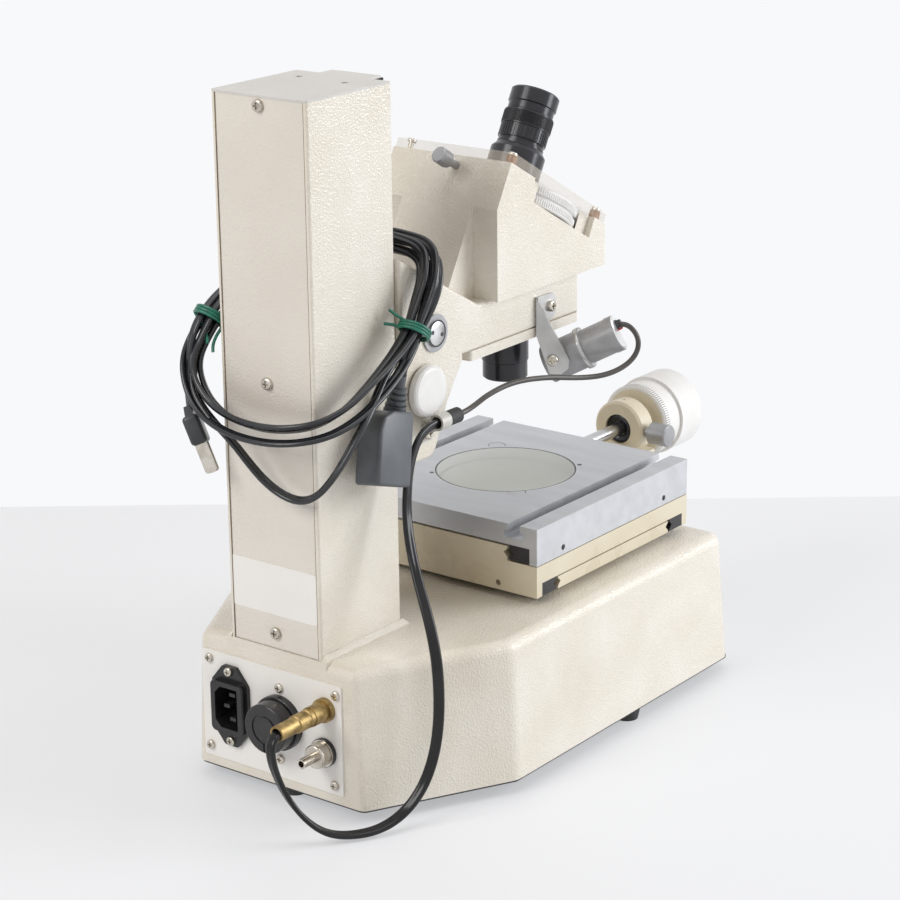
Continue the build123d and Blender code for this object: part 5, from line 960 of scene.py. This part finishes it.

# %% [markdown]
# ## Knobs and caps on the arm
# A focusing knob has a white face with a greyer rim. A bearing cap is a grey ring round a bright
# disc, with two pin spanner holes shown as painted shade and a thin black line between ring and
# disc.

# %% Knob faces, cap discs and spanner holes
knob_axis, cap_seat, spanner_reach = (0, 120.1, 212.7), (34.0, 110.0, 241.7), 4.2
face_rings = [(12.7, 39.2), (12.7, 39.45), (12.3, 39.75), (11.0, 39.85)]
line_outline = [(7.35, 1.95), (7.35, 2.14), (6.5, 2.14), (6.5, 1.95)]
disc_rings = [(6.4, 1.95), (6.4, 2.1), (6.2, 2.2)]
for side in (-1, 1):
    outward = (side, 0, 0)
    face = turned(f"knob_face_{side + 2}", face_rings, 64)
    face_place = frame_at(knob_axis, outward, (0, 1, 0))
    fit(face, face_place, "focus_shaft", "white_lacquer")
    cap_place = frame_at((side * cap_seat[0], *cap_seat[1:]), outward, (0, 0.95, 0.3))
    line = bored(f"cap_line_{side + 2}", line_outline)
    fit(line, cap_place, "head", "black_anodise")
    disc = turned(f"cap_disc_{side + 2}", disc_rings)
    fit(disc, cap_place, "head", "turned_steel")
    for end in (-1, 1):
        # painted shade: a black disc stands for each spanner hole
        hole_shade = turned(f"cap_hole_shade_{side + 2}_{end + 2}", [(1.1, 2.2), (1.1, 2.36)], 20)
        hole_place = cap_place @ Matrix.Translation((end * spanner_reach * mm, 0, 0))
        fit(hole_shade, hole_place, "head", "black_steel")
print("knobs and caps dressed")

# %% [markdown]
# ## Surface light
# The lamp is a blasted aluminium body with a bright collar behind the nose and a bright rear cap,
# where the lead goes in through a small grommet with a bit of red wire at its side.

# %% Collar, rear cap and grommet
lamp_pivot = (-39.125, 2.336, 202.792)
lamp_place = frame_at(lamp_pivot, (-0.7953, -0.4017, 0.454), (0.4052, 0.2047, 0.891))
collar_outline = [(12.12, 15.4), (12.12, 16.9), (11.8, 17.4), (10.0, 17.7), (10.0, 15.4)]
collar = bored("lamp_collar", collar_outline)
fit(collar, lamp_place, "lamp", "brushed_sheet")
rear_rings = [(10.2, 33.1), (10.2, 37.6), (9.7, 38.35), (8.6, 38.6), (8.2, 38.5), (2.0, 38.5)]
rear_cap = turned("lamp_rear_cap", rear_rings)
fit(rear_cap, lamp_place, "lamp", "satin_chrome")
grommet_rings = [(2.7, 38.3), (2.7, 39.1), (2.3, 39.5), (2.1, 41.2), (1.8, 41.5)]
grommet = turned("lamp_grommet", grommet_rings, 32)
grommet_place = lamp_place @ Matrix.Translation((4.5 * mm, 0, 0))
fit(grommet, grommet_place, "lamp", "black_plastic")
for number, shift in enumerate((-1.6, 1.5)):
    wire = turned(f"lamp_wire_{number}", [(0.5, 38.4), (0.55, 40.2), (0.35, 41.0)], 12)
    wire_place = lamp_place @ Matrix.Translation((1.6 * mm, shift * mm, 0))
    fit(wire, wire_place, "lamp", "red_sheath")
print("lamp dressed")

# %% [markdown]
# ## Dial clamp
# The clamp's head has a straight knurl, like the lock screws of the stage.

# %% Clamp knurl
clamp_place = frame_at((-5.1, 51.093, 317.787), (0, 0.8712, 0.4909), (0, -0.4909, 0.8712))
clamp_knurl = ring_of_teeth("clamp_knurl", 40, 4.5, (0.3, 0.38, 7.4), 13.6)
fit(clamp_knurl, clamp_place, "dial_clamp", "bead_blasted")
print("clamp dressed")

# %% [markdown]
# ## Rear panel and column
# A dark strip of painted shade runs down each side of the column cover, in the gap beside it. The
# earth nut stands on a black insulating washer. The rating plate on the column is left bare.

# %% Painted shade in the gaps beside the column cover
cover_low, cover_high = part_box("column_cover")
edge_x = max(abs(cover_low.x), abs(cover_high.x)) + 0.15 * mm
for side in (-1, 1):
    # painted shade: a dark brown strip stands for the shade in the gap at the cover's edge
    gap_shade = begin(
        "cube",
        f"cover_gap_shade_{side + 2}",
        size=1,
        location=(side * edge_x, cover_high.y + 0.05 * mm, (cover_low.z + cover_high.z) / 2),
        scale=(0.55 * mm, 0.9 * mm, cover_high.z - cover_low.z),
    )
    edit_all()
    bpy.ops.mesh.bevel(offset=0.08 * mm, segments=1)
    close_edit()
    fit(gap_shade, in_place, "base", "gap_shade_brown")
print("gap_shades at", round(edge_x / mm, 2))

# %% Washer and bare plate
washer = turned("earth_washer", [(7.95, 0.0), (7.95, 2.2), (7.6, 2.5)])
fit(washer, frame_at((-33.0, 207.4, 36.5), (0, 1, 0)), "base", "black_plastic")
plate = begin(
    "cube",
    "bare_plate",
    size=1,
    location=(0.25 * mm, cover_high.y, 119 * mm),
    scale=(57.5 * mm, 0.5 * mm, 28 * mm),
)
edit_all()
select_edges(plate, lambda a, b: abs(a.y - b.y) > 0.1 * mm)
bpy.ops.mesh.bevel(offset=1.5 * mm, segments=3)
close_edit()
fit(plate, in_place, "base", "white_enamel")
print("rear dressed")
